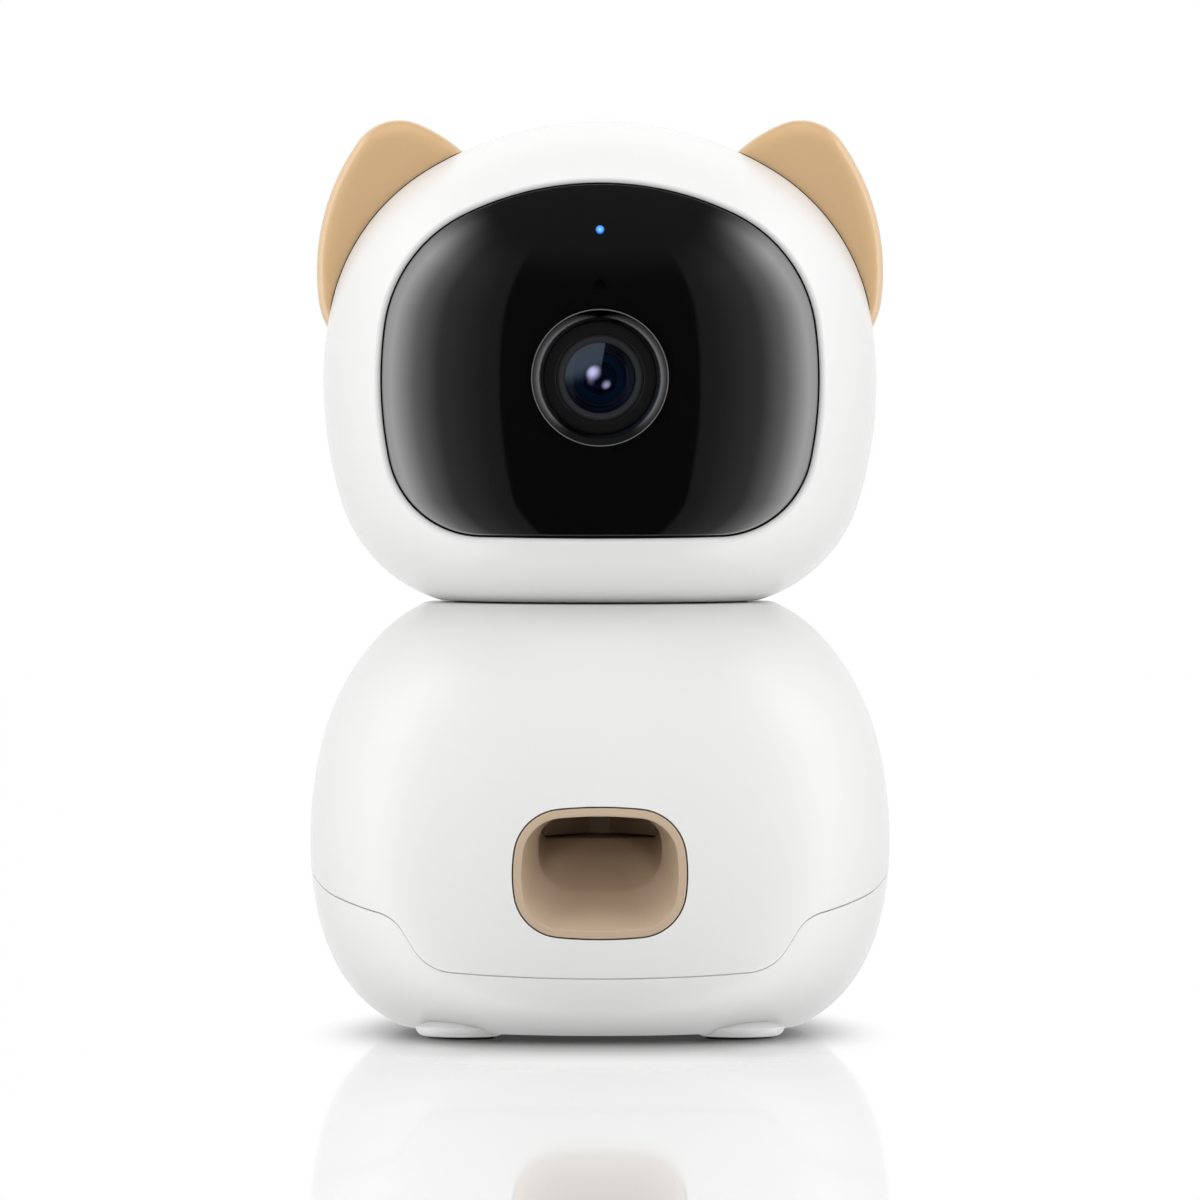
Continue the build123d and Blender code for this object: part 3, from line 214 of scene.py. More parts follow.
@dataclass(frozen=True)
class Finish:
    """A moulded, cast or coated surface with fine grain and uneven gloss.

    Grain sizes are in millimetres; strengths run from 0 to 1.
    """

    name: str
    color: Triple
    roughness: float
    metallic: float = 0.0
    coat: float = 0.0
    coat_roughness: float = 0.05
    specular: float = 0.5
    grain_mm: float = 0.35
    grain_depth: float = 0.05
    wave_mm: float = 14.0
    wave_depth: float = 0.02
    mottle: float = 0.02
    gloss_spread: float = 0.04

    def build(self) -> bpy.types.Material:
        """Make the material.

        Returns:
            The finished node material.
        """
        material, nodes = new_material(self.name)
        place = nodes.place()
        low, high = (tuple(min(1.0, part * share) for part in self.color)
                     for share in (1.0 - self.mottle, 1.0 + self.mottle))
        gloss = (max(0.0, self.roughness - self.gloss_spread), self.roughness + self.gloss_spread)
        inputs = nodes.tree.nodes["Principled BSDF"].inputs
        for name, value in {
                "Metallic": self.metallic, "Specular IOR Level": self.specular,
                "Coat Weight": self.coat, "Coat Roughness": self.coat_roughness,
                "Base Color": nodes.ramp(nodes.noise(place, self.wave_mm, 3.0), [(0.3, low), (0.7, high)]),
                "Roughness": nodes.span(nodes.noise(place, self.wave_mm * 0.5, 2.0), to=gloss),
                "Normal": self._relief(nodes, place)}.items():
            nodes.feed(inputs[name], value)
        return material

    def _relief(self, nodes: Nodes, place: Socket) -> Socket:
        """Fine grain over a long, faint wave."""
        wave = nodes.bump(nodes.noise(place, self.wave_mm, 1.0), self.wave_depth, 0.4)
        return nodes.bump(nodes.noise(place, self.grain_mm, 2.0), self.grain_depth, 0.05, wave)


@dataclass(frozen=True)
class TurnedMetal(Finish):
    """Metal with fine rings left by a lathe around an axis along Y."""

    ring_mm: float = 0.25
    ring_depth: float = 0.15
    centre_z_mm: float = 0.0

    def _relief(self, nodes: Nodes, place: Socket) -> Socket:
        """Turning rings around the lens axis."""
        centred = nodes.add("Mapping", {"Vector": place, "Location": (0.0, 0.0, -self.centre_z_mm * MM)}, "Vector")
        rings = nodes.add("TexWave", {"Vector": centred, "Scale": 1.0 / (self.ring_mm * MM) / 20.0,
                                      "Distortion": 0.4}, "Fac", wave_type="RINGS", rings_direction="Y")
        return nodes.bump(rings, self.ring_depth, 0.03)


@dataclass(frozen=True)
class CoatedGlass:
    """Lens glass with a tinted anti-reflection coating and a pale wedge of painted reflection over one side.

    Each side of the wedge is the direction across it and the width of its soft edge.
    """

    name: str
    tint: Triple
    body: Triple
    centre_mm: Triple
    ior: float = 1.6
    # Painted reflection: colour of the pale glowing wedge, then the sides of the wedge.
    painted_reflection_tint: Triple = (0.02, 0.025, 0.03)
    wedge_edges_of_painted_reflection: tuple[Triple, ...] = ((-0.98, 0.17, 0.25), (-0.34, 0.94, 4.0))

    def build(self) -> bpy.types.Material:
        """Make the material.

        Returns:
            Clear glass whose faint reflection turns to the coating's colour, with a faintly glowing wedge as painted
            reflection.
        """
        material, nodes = new_material(self.name, cleared=True)
        place = nodes.place()
        dust = nodes.span(nodes.noise(place, 2.0, 2.0), to=(0.01, 0.05))
        clear = nodes.add("BsdfTransparent", {"Color": (*self.body, 1.0)})
        gloss = nodes.add("BsdfGlossy", {"Color": (*self.tint, 1.0), "Roughness": dust})
        glass = nodes.blend(nodes.add("Fresnel", {"IOR": self.ior}), clear, gloss)
        # Painted reflection: a pale wedge glows faintly over one side of the glass.
        offset = nodes.add("VectorMath", {0: place, 1: tuple(value * MM for value in self.centre_mm)}, "Vector",
                           operation="SUBTRACT")
        edges = [nodes.span(nodes.length("DOT_PRODUCT", offset, (x, 0.0, z)), 0.0, width * MM, ease="SMOOTHSTEP")
                 for x, z, width in self.wedge_edges_of_painted_reflection]
        painted_reflection_tint = nodes.add("Emission", {"Color": (*self.painted_reflection_tint, 1.0), "Strength": nodes.math("MULTIPLY", *edges)})
        nodes.close("Material", nodes.add("AddShader", {0: glass, 1: painted_reflection_tint}))
        return material


@dataclass(frozen=True)
class PaintedGlintDome:
    """Dark inner lens element with painted highlights: soft glowing spots on its coating, and a teal tint towards its
    rim as painted reflection.

    Each painted highlight is its offset to the side and up, its radius in millimetres and its strength.
    """

    # Base colour in the middle and at the rim: the glass's dark tint, with the teal at the rim as painted reflection.
    name: str
    middle: Triple
    rim: Triple
    centre_mm: Triple
    radius_mm: float
    # Painted highlights: their colour, how far behind the face they sit, and the glowing spots.
    painted_glint_color: Triple = (0.85, 0.74, 1.0)
    painted_glint_depth_mm: float = 0.7
    painted_glint_spots: tuple[tuple[float, float, float, float], ...] = (
        (-1.6, 1.25, 2.4, 0.95), (1.4, -1.5, 1.5, 0.5), (-2.1, -0.6, 1.5, 0.1))

    def build(self) -> bpy.types.Material:
        """Make the material.

        Returns:
            A black glass with a mirror-like coating, dark teal towards its rim as painted reflection, and glowing
            spots as painted highlights.
        """
        material, nodes = new_material(self.name)
        place = nodes.place()
        share = nodes.span(nodes.distance(place, self.centre_mm), 0.0, self.radius_mm * MM)
        x, y, z = self.centre_mm
        # Painted highlights: spots on the coating that glow in place of reflected lamps.
        level = None
        for aside, above, size, strength in self.painted_glint_spots:
            reach = nodes.distance(place, (x + aside, y + self.painted_glint_depth_mm, z + above))
            fade = nodes.span(reach, 0.0, size * MM, (strength, 0.0), "SMOOTHERSTEP")
            level = fade if level is None else nodes.math("ADD", level, fade)
        inputs = nodes.tree.nodes["Principled BSDF"].inputs
        nodes.feed(inputs["Roughness"], 0.06)
        nodes.feed(inputs["Base Color"], nodes.ramp(share, [(0.0, self.middle), (1.0, self.rim)]))
        nodes.feed(inputs["Emission Color"], (*self.painted_glint_color, 1.0))
        nodes.feed(inputs["Emission Strength"], level)
        return material


@dataclass(frozen=True)
class LitPlastic:
    """Small light pipe that glows, brightest at its middle."""

    name: str
    core: Triple
    color: Triple
    strength: float
    centre_mm: Triple
    radius_mm: float

    def build(self) -> bpy.types.Material:
        """Make the material.

        Returns:
            A glowing plastic.
        """
        material, nodes = new_material(self.name)
        share = nodes.span(nodes.distance(nodes.place(), self.centre_mm), 0.0, self.radius_mm * MM)
        inputs = nodes.tree.nodes["Principled BSDF"].inputs
        nodes.feed(inputs["Base Color"], (0.05, 0.2, 0.6, 1.0))
        nodes.feed(inputs["Roughness"], 0.2)
        nodes.feed(inputs["Emission Strength"], self.strength)
        nodes.feed(inputs["Emission Color"], nodes.ramp(share, [(0.0, self.core), (1.0, self.color)]))
        return material


class Finishes:
    """All finishes of the camera, made once."""

    def __init__(self) -> None:
        """Build every material."""
        self.white = Finish("white_shell", (0.8, 0.8, 0.795), 0.26, coat=0.08, coat_roughness=0.14, specular=0.38,
                            grain_mm=0.3, mottle=0.003, wave_mm=45.0, wave_depth=0.0015,
                            gloss_spread=0.012).build()
        self.ear = Finish("ear_plastic", (0.66, 0.435, 0.225), 0.32, grain_mm=0.25, grain_depth=0.06,
                          mottle=0.008, coat=0.7, coat_roughness=0.08, wave_depth=0.002, gloss_spread=0.02).build()
        self.tan = Finish("tan_plastic", (0.5, 0.36, 0.23), 0.42, grain_mm=0.25, grain_depth=0.14,
                          coat=0.08, coat_roughness=0.3).build()
        self.chute = Finish("chute_plastic", (0.55, 0.42, 0.3), 0.3, grain_mm=0.25, grain_depth=0.1,
                            mottle=0.008, coat=0.1, coat_roughness=0.28, wave_depth=0.004, gloss_spread=0.02).build()
        self.black_gloss = Finish("black_gloss", (0.003, 0.003, 0.003), 0.07, coat=1.0, coat_roughness=0.03,
                                  grain_depth=0.01, wave_depth=0.008, gloss_spread=0.015).build()
        self.black_satin = Finish("black_satin", (0.008, 0.008, 0.008), 0.34, grain_depth=0.15,
                                  gloss_spread=0.05, mottle=0.1).build()
        self.black_rubber = Finish("black_rubber", (0.006, 0.006, 0.006), 0.6, specular=0.15, grain_mm=0.2,
                                   grain_depth=0.3, mottle=0.15).build()
        self.dark_ring = TurnedMetal("dark_ring", (0.15, 0.15, 0.152), 0.14, metallic=1.0,
                                     ring_depth=0.05, centre_z_mm=LENS_AXIS_Z).build()
        # Paler grey for the hair-thin line on the lens ring's crest: a painted highlight.
        self.crest_highlight_paint = Finish("crest_highlight_paint", (0.13, 0.13, 0.13), 0.3, grain_depth=0.02).build()
        self.barrel = TurnedMetal("barrel_black", (0.028, 0.028, 0.031), 0.22, ring_depth=0.12,
                                  centre_z_mm=LENS_AXIS_Z).build()
        # Front glass with a pale wedge of painted reflection.
        self.glass = CoatedGlass("front_glass", (0.62, 0.72, 1.0), (0.86, 0.9, 1.0), (0.0, -59.3, LENS_AXIS_Z)).build()
        # Inner glass with painted highlights and a painted reflection towards its rim.
        self.inner_glass = PaintedGlintDome("inner_glass", (0.003, 0.003, 0.008), (0.006, 0.02, 0.034),
                                      (0.0, -54.6, LENS_AXIS_Z), 4.6).build()
        self.light = LitPlastic("status_glow", (0.32, 0.66, 0.92), (0.006, 0.12, 0.55), 0.9,
                                (0.0, -52.7, 177.94), 0.8).build()
        self.steel = Finish("steel_parts", (0.5, 0.5, 0.51), 0.3, metallic=1.0, grain_depth=0.2,
                            mottle=0.08).build()
        self.cream = Finish("cream_gears", (0.62, 0.58, 0.48), 0.4, grain_depth=0.15, mottle=0.03).build()
        self.grey = Finish("inner_grey", (0.2, 0.2, 0.21), 0.5, grain_depth=0.25, mottle=0.05).build()
        self.green = Finish("board_green", (0.015, 0.09, 0.035), 0.35, coat=0.5, grain_depth=0.2,
                            mottle=0.2, wave_mm=3.0).build()
        self.button = Finish("button_grey", (0.3, 0.3, 0.3), 0.4, grain_depth=0.2).build()


# Shape helpers

@dataclass
class ArcProfile:
    """Side outline of a round body as tangent arcs, each a radius and a signed sweep in degrees."""

    start: Point
    heading: float
    arcs: Arcs

    def sample(self, steps: int = 120) -> np.ndarray:
        """Follow the arcs.

        Args:
            steps: Points per arc.

        Returns:
            Rows of r, z and the course in radians.
        """
        spot = np.array(self.start, float)
        course = math.radians(self.heading)
        rows = [(spot[0], spot[1], course)]
        for radius, sweep in self.arcs:
            turn = math.radians(sweep)
            reach = radius * math.copysign(1.0, turn)
            centre = spot + reach * np.array([-math.sin(course), math.cos(course)])
            for step in range(1, steps + 1):
                now = course + turn * step / steps
                point = centre + reach * np.array([math.sin(now), -math.cos(now)])
                rows.append((point[0], point[1], now))
            spot = np.array(rows[-1][:2])
            course += turn
        return np.array(rows)


def arc_outline(top_z: float, arcs: Arcs, grow: float) -> np.ndarray:
    """Right half of a symmetric front outline of tangent arcs, closed at its foot.

    Args:
        top_z: Height of its top.
        arcs: Radius and sweep of each arc from the top.
        grow: Amount that the outline is grown by.

    Returns:
        Rows of x and z from the top to the foot.
    """
    grown = [(radius + grow, sweep) for radius, sweep in arcs]
    turned = sum(sweep for _, sweep in arcs)
    corner = ArcProfile((0.0, top_z + grow), 0.0, grown).sample(40)[-1]
    last = (corner[0] / math.sin(math.radians(180.0 + turned)), -180.0 - turned)
    return ArcProfile((0.0, top_z + grow), 0.0, [*grown, last]).sample(60)[:, :2]


def passage_outline(half_width: float, low: float, high: float, low_corner: float, high_corner: float) -> np.ndarray:
    """Right half of a rounded rectangle with its own top and bottom corners.

    Args:
        half_width: Half of its width.
        low: Height of its floor.
        high: Height of its ceiling.
        low_corner: Rounding of its bottom corners.
        high_corner: Rounding of its top corners.

    Returns:
        Rows of x and z from the top to the foot.
    """
    turns = np.radians(np.linspace(0.0, 90.0, 16))
    top = [(half_width - high_corner * (1 - math.sin(a)), high - high_corner * (1 - math.cos(a))) for a in turns]
    foot = [(half_width - low_corner * (1 - math.cos(a)), low + low_corner * (1 - math.sin(a))) for a in turns]
    return np.array([(0.0, high), *top, *foot, (0.0, low)])


def polar_reach(outline: np.ndarray, centre_z: float, theta: np.ndarray) -> np.ndarray:
    """Distance from the middle to a symmetric outline in each direction of the front view.

    Args:
        outline: Right half as rows of x and z.
        centre_z: Height of the middle.
        theta: Directions, 0 to the right.

    Returns:
        One distance for each direction.
    """
    dense = np.concatenate([np.linspace(a, b, 12, endpoint=False) for a, b in zip(outline, outline[1:])]
                           + [outline[-1:]])
    angle = np.arctan2(dense[:, 1] - centre_z, np.abs(dense[:, 0]))
    order = np.argsort(angle)
    reach = np.hypot(dense[:, 0], dense[:, 1] - centre_z)[order]
    return np.interp(np.arcsin(np.sin(theta)), angle[order], reach)


def directions(columns: int) -> np.ndarray:
    """Evenly spread directions of a full turn, the last the same as the first."""
    around = np.linspace(0.0, 2 * math.pi, columns + 1)
    around[-1] = 0.0
    return around


def lip_rows(start: np.ndarray, end: np.ndarray, lips: Point, walls: Point,
             rows: int) -> list[tuple[np.ndarray, float]]:
    """Plan the rows of a shell patch with rounded lips and turned-in walls.

    Args:
        start: Where each column starts, measured along the surface.
        end: Where each column ends.
        lips: Rounding at the start and the end, 0 for none.
        walls: Depth of the wall at the start and the end, 0 for none.
        rows: Rows on the open surface.

    Returns:
        Pairs of the length of every column and the depth below the skin.
    """
    quarter = [math.radians(angle) for angle in (0, 18, 36, 54, 72)]
    plan: list[tuple[np.ndarray, float]] = [(start, walls[0])] if walls[0] else []
    if lips[0]:
        plan += [(start + lips[0] * (1 - math.cos(a)), lips[0] * (1 - math.sin(a))) for a in quarter]
    first, last = start + lips[0], end - lips[1]
    plan += [(first + (last - first) * step / rows, 0.0) for step in range(rows + 1)]
    if lips[1]:
        plan += [(end - lips[1] * (1 - math.cos(a)), lips[1] * (1 - math.sin(a))) for a in reversed(quarter)]
    return plan + ([(end, walls[1])] if walls[1] else [])


def warped_grid(points: np.ndarray) -> Mesh:
    """Lay a grid onto a table of points.

    Args:
        points: Rows by columns by xyz, in millimetres.

    Returns:
        The mesh, with doubles merged and faces turned one way.
    """
    rows, columns = points.shape[:2]
    mesh = bmesh.new()
    bmesh.ops.create_grid(mesh, x_segments=columns - 1, y_segments=rows - 1, size=1.0)
    for vert in mesh.verts:
        column = round((vert.co.x + 1.0) / 2.0 * (columns - 1))
        row = round((vert.co.y + 1.0) / 2.0 * (rows - 1))
        vert.co = Vector(points[row, column])
    bmesh.ops.remove_doubles(mesh, verts=mesh.verts, dist=1e-3)
    bmesh.ops.recalc_face_normals(mesh, faces=mesh.faces)
    return mesh


def spun(outline: list[Point], centre: Point, steps: int, upright: bool = False, bevel: float = 0.0) -> Mesh:
    """Turn an outline around an axis along Y, or upright.

    Args:
        outline: Radius and distance along the axis of each point, in millimetres.
        centre: Where the axis stands: x and z, or x and y of an upright one.
        steps: Segments of the full turn.
        upright: Whether the axis is along Z.
        bevel: Width of the rounding on its sharp corners, 0 for none.

    Returns:
        The turned mesh.
    """
    x, other = centre
    axis, middle = ((0, 0, 1), (x, other, 0)) if upright else ((0, 1, 0), (x, 0, other))
    mesh = bmesh.new()
    verts = [mesh.verts.new((x + r, other, along) if upright else (x + r, along, other)) for r, along in outline]
    edges = [mesh.edges.new(pair) for pair in zip(verts, verts[1:])]
    bmesh.ops.spin(mesh, geom=verts + edges, cent=middle, axis=axis, angle=2 * math.pi, steps=steps,
                   use_merge=True, use_duplicate=False)
    bmesh.ops.remove_doubles(mesh, verts=mesh.verts, dist=1e-3)
    bmesh.ops.recalc_face_normals(mesh, faces=mesh.faces)
    if bevel:
        sharp = [edge for edge in mesh.edges if len(edge.link_faces) == 2
                 and edge.calc_face_angle(0.0) > math.radians(30)]
        soften(mesh, sharp, bevel, 4)
    return mesh


def soften(mesh: Mesh, edges: list[bmesh.types.BMEdge], width: float, segments: int) -> None:
    """Round some edges of a mesh."""
    bmesh.ops.bevel(mesh, geom=edges, offset=width, offset_type="OFFSET", segments=segments, profile=0.5,
                    affect="EDGES", material=-1, clamp_overlap=True)


def block(size: Triple, centre: Triple) -> Mesh:
    """Make a box of a size around a middle, in millimetres."""
    mesh = bmesh.new()
    bmesh.ops.create_cube(mesh, size=1.0)
    bmesh.ops.scale(mesh, vec=size, verts=mesh.verts)
    bmesh.ops.translate(mesh, vec=centre, verts=mesh.verts)
    return mesh


def sleeve_block(size: Triple, centre: Triple, rounding: float, segments: int) -> Mesh:
    """Make a box whose four edges along Y are rounded.

    Args:
        size: Length, depth and height in millimetres.
        centre: Its middle.
        rounding: Radius of the rounding.
        segments: Steps of the rounding.

    Returns:
        The mesh.
    """
    mesh = block(size, centre)
    along = [edge for edge in mesh.edges if abs(edge.verts[0].co.y - edge.verts[1].co.y) > 1.0]
    soften(mesh, along, rounding, segments)
    return mesh


def add_pin(mesh: Mesh, centre: Triple, radius: float, depth: float, segments: int = 48) -> None:
    """Add a closed pin along Y to a mesh."""
    place = Matrix.Translation(centre) @ Matrix.Rotation(math.pi / 2, 4, "X")
    bmesh.ops.create_cone(mesh, cap_ends=True, segments=segments, radius1=radius, radius2=radius, depth=depth,
                          matrix=place)


def merged(parts: list[Mesh]) -> Mesh:
    """Join several meshes, which are freed, into one."""
    whole = bmesh.new()
    for part in parts:
        carrier = bpy.data.meshes.new("carrier")
        part.to_mesh(carrier)
        part.free()
        whole.from_mesh(carrier)
        bpy.data.meshes.remove(carrier)
    return whole


def as_object(mesh: Mesh, name: str, material: bpy.types.Material | None,
              sharp_deg: float = 40.0) -> bpy.types.Object:
    """Turn a working mesh in millimetres into a smooth-shaded object in metres.

    Args:
        mesh: Working mesh, which is freed.
        name: Object name.
        material: Its finish.
        sharp_deg: Angle above which an edge shades sharp.

    Returns:
        The new object.
    """
    bmesh.ops.scale(mesh, vec=(MM, MM, MM), verts=mesh.verts)
    data = bpy.data.meshes.new(name)
    mesh.to_mesh(data)
    mesh.free()
    data.shade_smooth()
    data.set_sharp_from_angle(angle=math.radians(sharp_deg))
    if material is not None:
        data.materials.append(material)
    piece = bpy.data.objects.new(name, data)
    bpy.context.scene.collection.objects.link(piece)
    return piece


def freeze(piece: bpy.types.Object) -> None:
    """Apply the modifiers of a piece."""
    graph = bpy.context.evaluated_depsgraph_get()
    data = bpy.data.meshes.new_from_object(piece.evaluated_get(graph))
    piece.modifiers.clear()
    old, name = piece.data, piece.data.name
    piece.data = data
    bpy.data.meshes.remove(old)
    data.name = name


def thicken(piece: bpy.types.Object, wall: float) -> None:
    """Give an open skin a wall inwards, in millimetres, and apply it."""
    solid = piece.modifiers.new("wall", "SOLIDIFY")
    solid.thickness = wall * MM
    solid.offset = -1.0
    freeze(piece)


def carve(piece: bpy.types.Object, cutters: list[Mesh], sharp_deg: float = 40.0) -> None:
    """Cut shapes out of a piece and apply the cut.

    Args:
        piece: Object to cut.
        cutters: Closed meshes in millimetres, which are freed.
        sharp_deg: Angle above which an edge shades sharp.
    """
    for number, cutter in enumerate(cutters):
        tool = as_object(cutter, f"cutter_{number}", None)
        cut = piece.modifiers.new("cut", "BOOLEAN")
        cut.operation = "DIFFERENCE"
        cut.solver = "EXACT"
        cut.object = tool
        freeze(piece)
        blank = tool.data
        bpy.data.objects.remove(tool)
        bpy.data.meshes.remove(blank)
    piece.data.shade_smooth()
    piece.data.set_sharp_from_angle(angle=math.radians(sharp_deg))


def seat(piece: bpy.types.Object, body: Body, slot: str, *nodes: str) -> bpy.types.Object:
    """Tie a piece to its body and hide the nodes that it stands for.

    Args:
        piece: The piece.
        body: Body that it rides on.
        slot: Material slot; not used.
        nodes: Nodes that it replaces.

    Returns:
        The piece.
    """
    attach(piece, body.value)
    if nodes:
        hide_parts(*nodes)
    return piece


# Head

@dataclass
class HeadSkin:
    """Egg-shaped surface of the head, seen as rays from the lens height on the axis."""

    centre_z: float = LENS_AXIS_Z
    bottom_z: float = 96.1
    top: Point = (0.0, 203.3)
    arcs: Arcs = field(default_factory=lambda: [(74.0, -32.2), (46.9, -48.1), (91.5, -26.4), (33.3, -66.0)])
    columns: int = 480
    ray_count: int = 1441
    visor_top_z: float = 189.22
    visor_arcs: Arcs = field(default_factory=lambda: [(69.2, -26.0), (32.6, -56.5), (90.2, -19.0), (21.5, -77.4)])

    def __post_init__(self) -> None:
        """Tabulate the side outline against the ray's rise."""
        radius, height, course = ArcProfile(self.top, 0.0, self.arcs).sample().T
        rise = np.arctan2(height - self.centre_z, radius)
        order = np.argsort(rise)
        self.rise = rise[order]
        self.radius = radius[order]
        self.height = height[order]
        self.out_r = -np.sin(course)[order]
        self.out_z = np.cos(course)[order]
        self.visor_line = arc_outline(self.visor_top_z, self.visor_arcs, 0.0)
        self.around = directions(self.columns)

    def visor_edge(self) -> np.ndarray:
        """Front-view radius of the visor outline in each direction."""
        return polar_reach(self.visor_line, self.centre_z, self.around)

    def shoot(self, theta: np.ndarray, phi: np.ndarray, inset: float) -> tuple[np.ndarray, np.ndarray]:
        """Meet the surface along rays.

        Args:
            theta: Direction in front view, 0 to the right.
            phi: Angle from straight ahead.
            inset: Depth below the skin.

        Returns:
            Points and outward normals.
        """
        dx, dy = np.sin(phi) * np.cos(theta), -np.cos(phi)
        rise = np.arcsin(np.clip(np.sin(phi) * np.sin(theta), -1.0, 1.0))
        azimuth = np.arctan2(dy, dx)
        out_r = np.interp(rise, self.rise, self.out_r)
        out_z = np.interp(rise, self.rise, self.out_z)
        radius = np.interp(rise, self.rise, self.radius) - inset * out_r
        height = np.interp(rise, self.rise, self.height) - inset * out_z
        below = np.maximum((height - self.centre_z) / np.tan(np.minimum(rise, -0.1)), 0.0)
        radius = np.where(rise < self.rise[0], below, radius)
        cos_a, sin_a = np.cos(azimuth), np.sin(azimuth)
        points = np.stack([radius * cos_a, radius * sin_a, height], axis=-1)
        return points, np.stack([out_r * cos_a, out_r * sin_a, out_z], axis=-1)

    def patch(self, inner: Edge, outer: Edge, inset: float, lips: Point, walls: Point, rows: int) -> Mesh:
        """Build a shell patch between two edges around the forward axis.

        Args:
            inner: Gives the length at which each column starts, from its points and lengths.
            outer: Gives the length at which each column ends.
            inset: Depth of the patch below the skin.
            lips: Rounding at the two edges.
            walls: Depth of the walls at the two edges.
            rows: Rows between the edges.

        Returns:
            The patch as a mesh in millimetres.
        """
        phi = np.linspace(0.0, math.pi, self.ray_count)
        points, _ = self.shoot(*np.meshgrid(self.around, phi), inset)
        steps = np.linalg.norm(np.diff(points, axis=0), axis=2)
        length = np.vstack([np.zeros(len(self.around)), np.cumsum(steps, axis=0)])
        table = []
        for where, depth in lip_rows(inner(points, length), outer(points, length), lips, walls, rows):
            angle = np.array([np.interp(where[k], length[:, k], phi) for k in range(len(self.around))])
            spot, normal = self.shoot(self.around, angle, inset)
            table.append(spot - normal * depth)
        return warped_grid(np.array(table))

    def at_front_radius(self, radius: np.ndarray) -> Edge:
        """Edge at a given front-view radius in every direction.

        Args:
            radius: One radius for each column.

        Returns:
            A function that finds the length of that edge.
        """
        def find(points: np.ndarray, length: np.ndarray) -> np.ndarray:
            """Length at which each column reaches its radius."""
            reach = np.hypot(points[..., 0], points[..., 2] - self.centre_z)
            peaks = np.argmax(reach, axis=0)
            return np.array([np.interp(radius[k], reach[:peak, k], length[:peak, k]) for k, peak in enumerate(peaks)])
        return find

    def at_depth(self, y: float) -> Edge:
        """Edge where the surface crosses a plane across the head.

        Args:
            y: Place of the plane, in millimetres.

        Returns:
            A function that finds the length of that edge.
        """
        def find(points: np.ndarray, length: np.ndarray) -> np.ndarray:
            """Length at which each column reaches the plane."""
            return np.array([np.interp(y, points[:, k, 1], length[:, k]) for k in range(points.shape[1])])
        return find

    def far_end(self, points: np.ndarray, length: np.ndarray) -> np.ndarray:
        """Length of every column at the back pole."""
        return length[-1]

    def trim_chin(self, mesh: Mesh, rim_radius: float) -> None:
        """Cut the skin level at the neck and turn a rim inwards.

        Args:
            mesh: Skin mesh in millimetres.
            rim_radius: Inner radius of the rim.
        """
        geometry = [*mesh.verts, *mesh.edges, *mesh.faces]
        bmesh.ops.bisect_plane(mesh, geom=geometry, dist=1e-5, plane_co=(0, 0, self.bottom_z),
                               plane_no=(0, 0, 1), clear_inner=True)
        edge = [e for e in mesh.edges if e.is_boundary
                and all(abs(v.co.z - self.bottom_z) < 1e-3 for v in e.verts)]
        grown = bmesh.ops.extrude_edge_only(mesh, edges=edge)["geom"]
        for vert in (item for item in grown if isinstance(item, bmesh.types.BMVert)):
            reach = math.hypot(vert.co.x, vert.co.y)
            if reach > rim_radius:
                vert.co.x *= rim_radius / reach
                vert.co.y *= rim_radius / reach
        bmesh.ops.recalc_face_normals(mesh, faces=mesh.faces)


@dataclass
class HeadShells:
    """Front and rear shells of the head with the speaker holes."""

    skin: HeadSkin
    finish: Finishes
    split_y: float = 12.0
    split_gap: float = 0.3
    bezel_round: float = 1.0
    bezel_depth: float = 3.4
    seam_round: float = 0.25
    wall: float = 2.4
    visor_gap: float = 0.15
    rim_radius: float = 30.0
    rows: int = 90
    speaker_z: float = 150.0
    hole_radius: float = 0.9
    hole_pitch: float = 3.2
    hole_reach: float = 10.5

    def build(self) -> list[bpy.types.Object]:
        """Build both shells.

        Returns:
            The two objects.
        """
        return [self._front(), self._rear()]

    def _front(self) -> bpy.types.Object:
        """Front shell with the rounded visor opening."""
        skin = self.skin
        mesh = skin.patch(skin.at_front_radius(skin.visor_edge() + self.visor_gap),
                          skin.at_depth(self.split_y - self.split_gap / 2), 0.0,
                          (self.bezel_round, self.seam_round), (self.bezel_depth, self.wall), self.rows)
        skin.trim_chin(mesh, self.rim_radius)
        piece = as_object(mesh, "head_front_skin", self.finish.white)
        return seat(piece, Body.HEAD, "shell_white", "head_shell_front")

    def _rear(self) -> bpy.types.Object:
        """Rear shell with its speaker holes."""
        skin = self.skin
        mesh = skin.patch(skin.at_depth(self.split_y + self.split_gap / 2), skin.far_end, 0.0,
                          (self.seam_round, 0.0), (self.wall, 0.0), self.rows)
        skin.trim_chin(mesh, self.rim_radius)
        piece = as_object(mesh, "head_rear_skin", self.finish.white)
        thicken(piece, self.wall * 0.8)
        carve(piece, [self._speaker_holes()])
        return seat(piece, Body.HEAD, "shell_white", "head_shell_rear")

    def _speaker_holes(self) -> Mesh:
        """Pins that cut the speaker holes.

        Returns:
            The cutting mesh.
        """
        pins = bmesh.new()
        count = int(self.hole_reach // self.hole_pitch) + 2
        for row in range(-count - 1, count + 2):
            for column in range(-count - 1, count + 2):
                x = (column + 0.5 * (row % 2)) * self.hole_pitch
                z = row * self.hole_pitch * math.sqrt(0.75)
                if math.hypot(x, z) + self.hole_radius <= self.hole_reach:
                    add_pin(pins, (x, 55.0, self.speaker_z + z), self.hole_radius, 24.0, 16)
        return pins


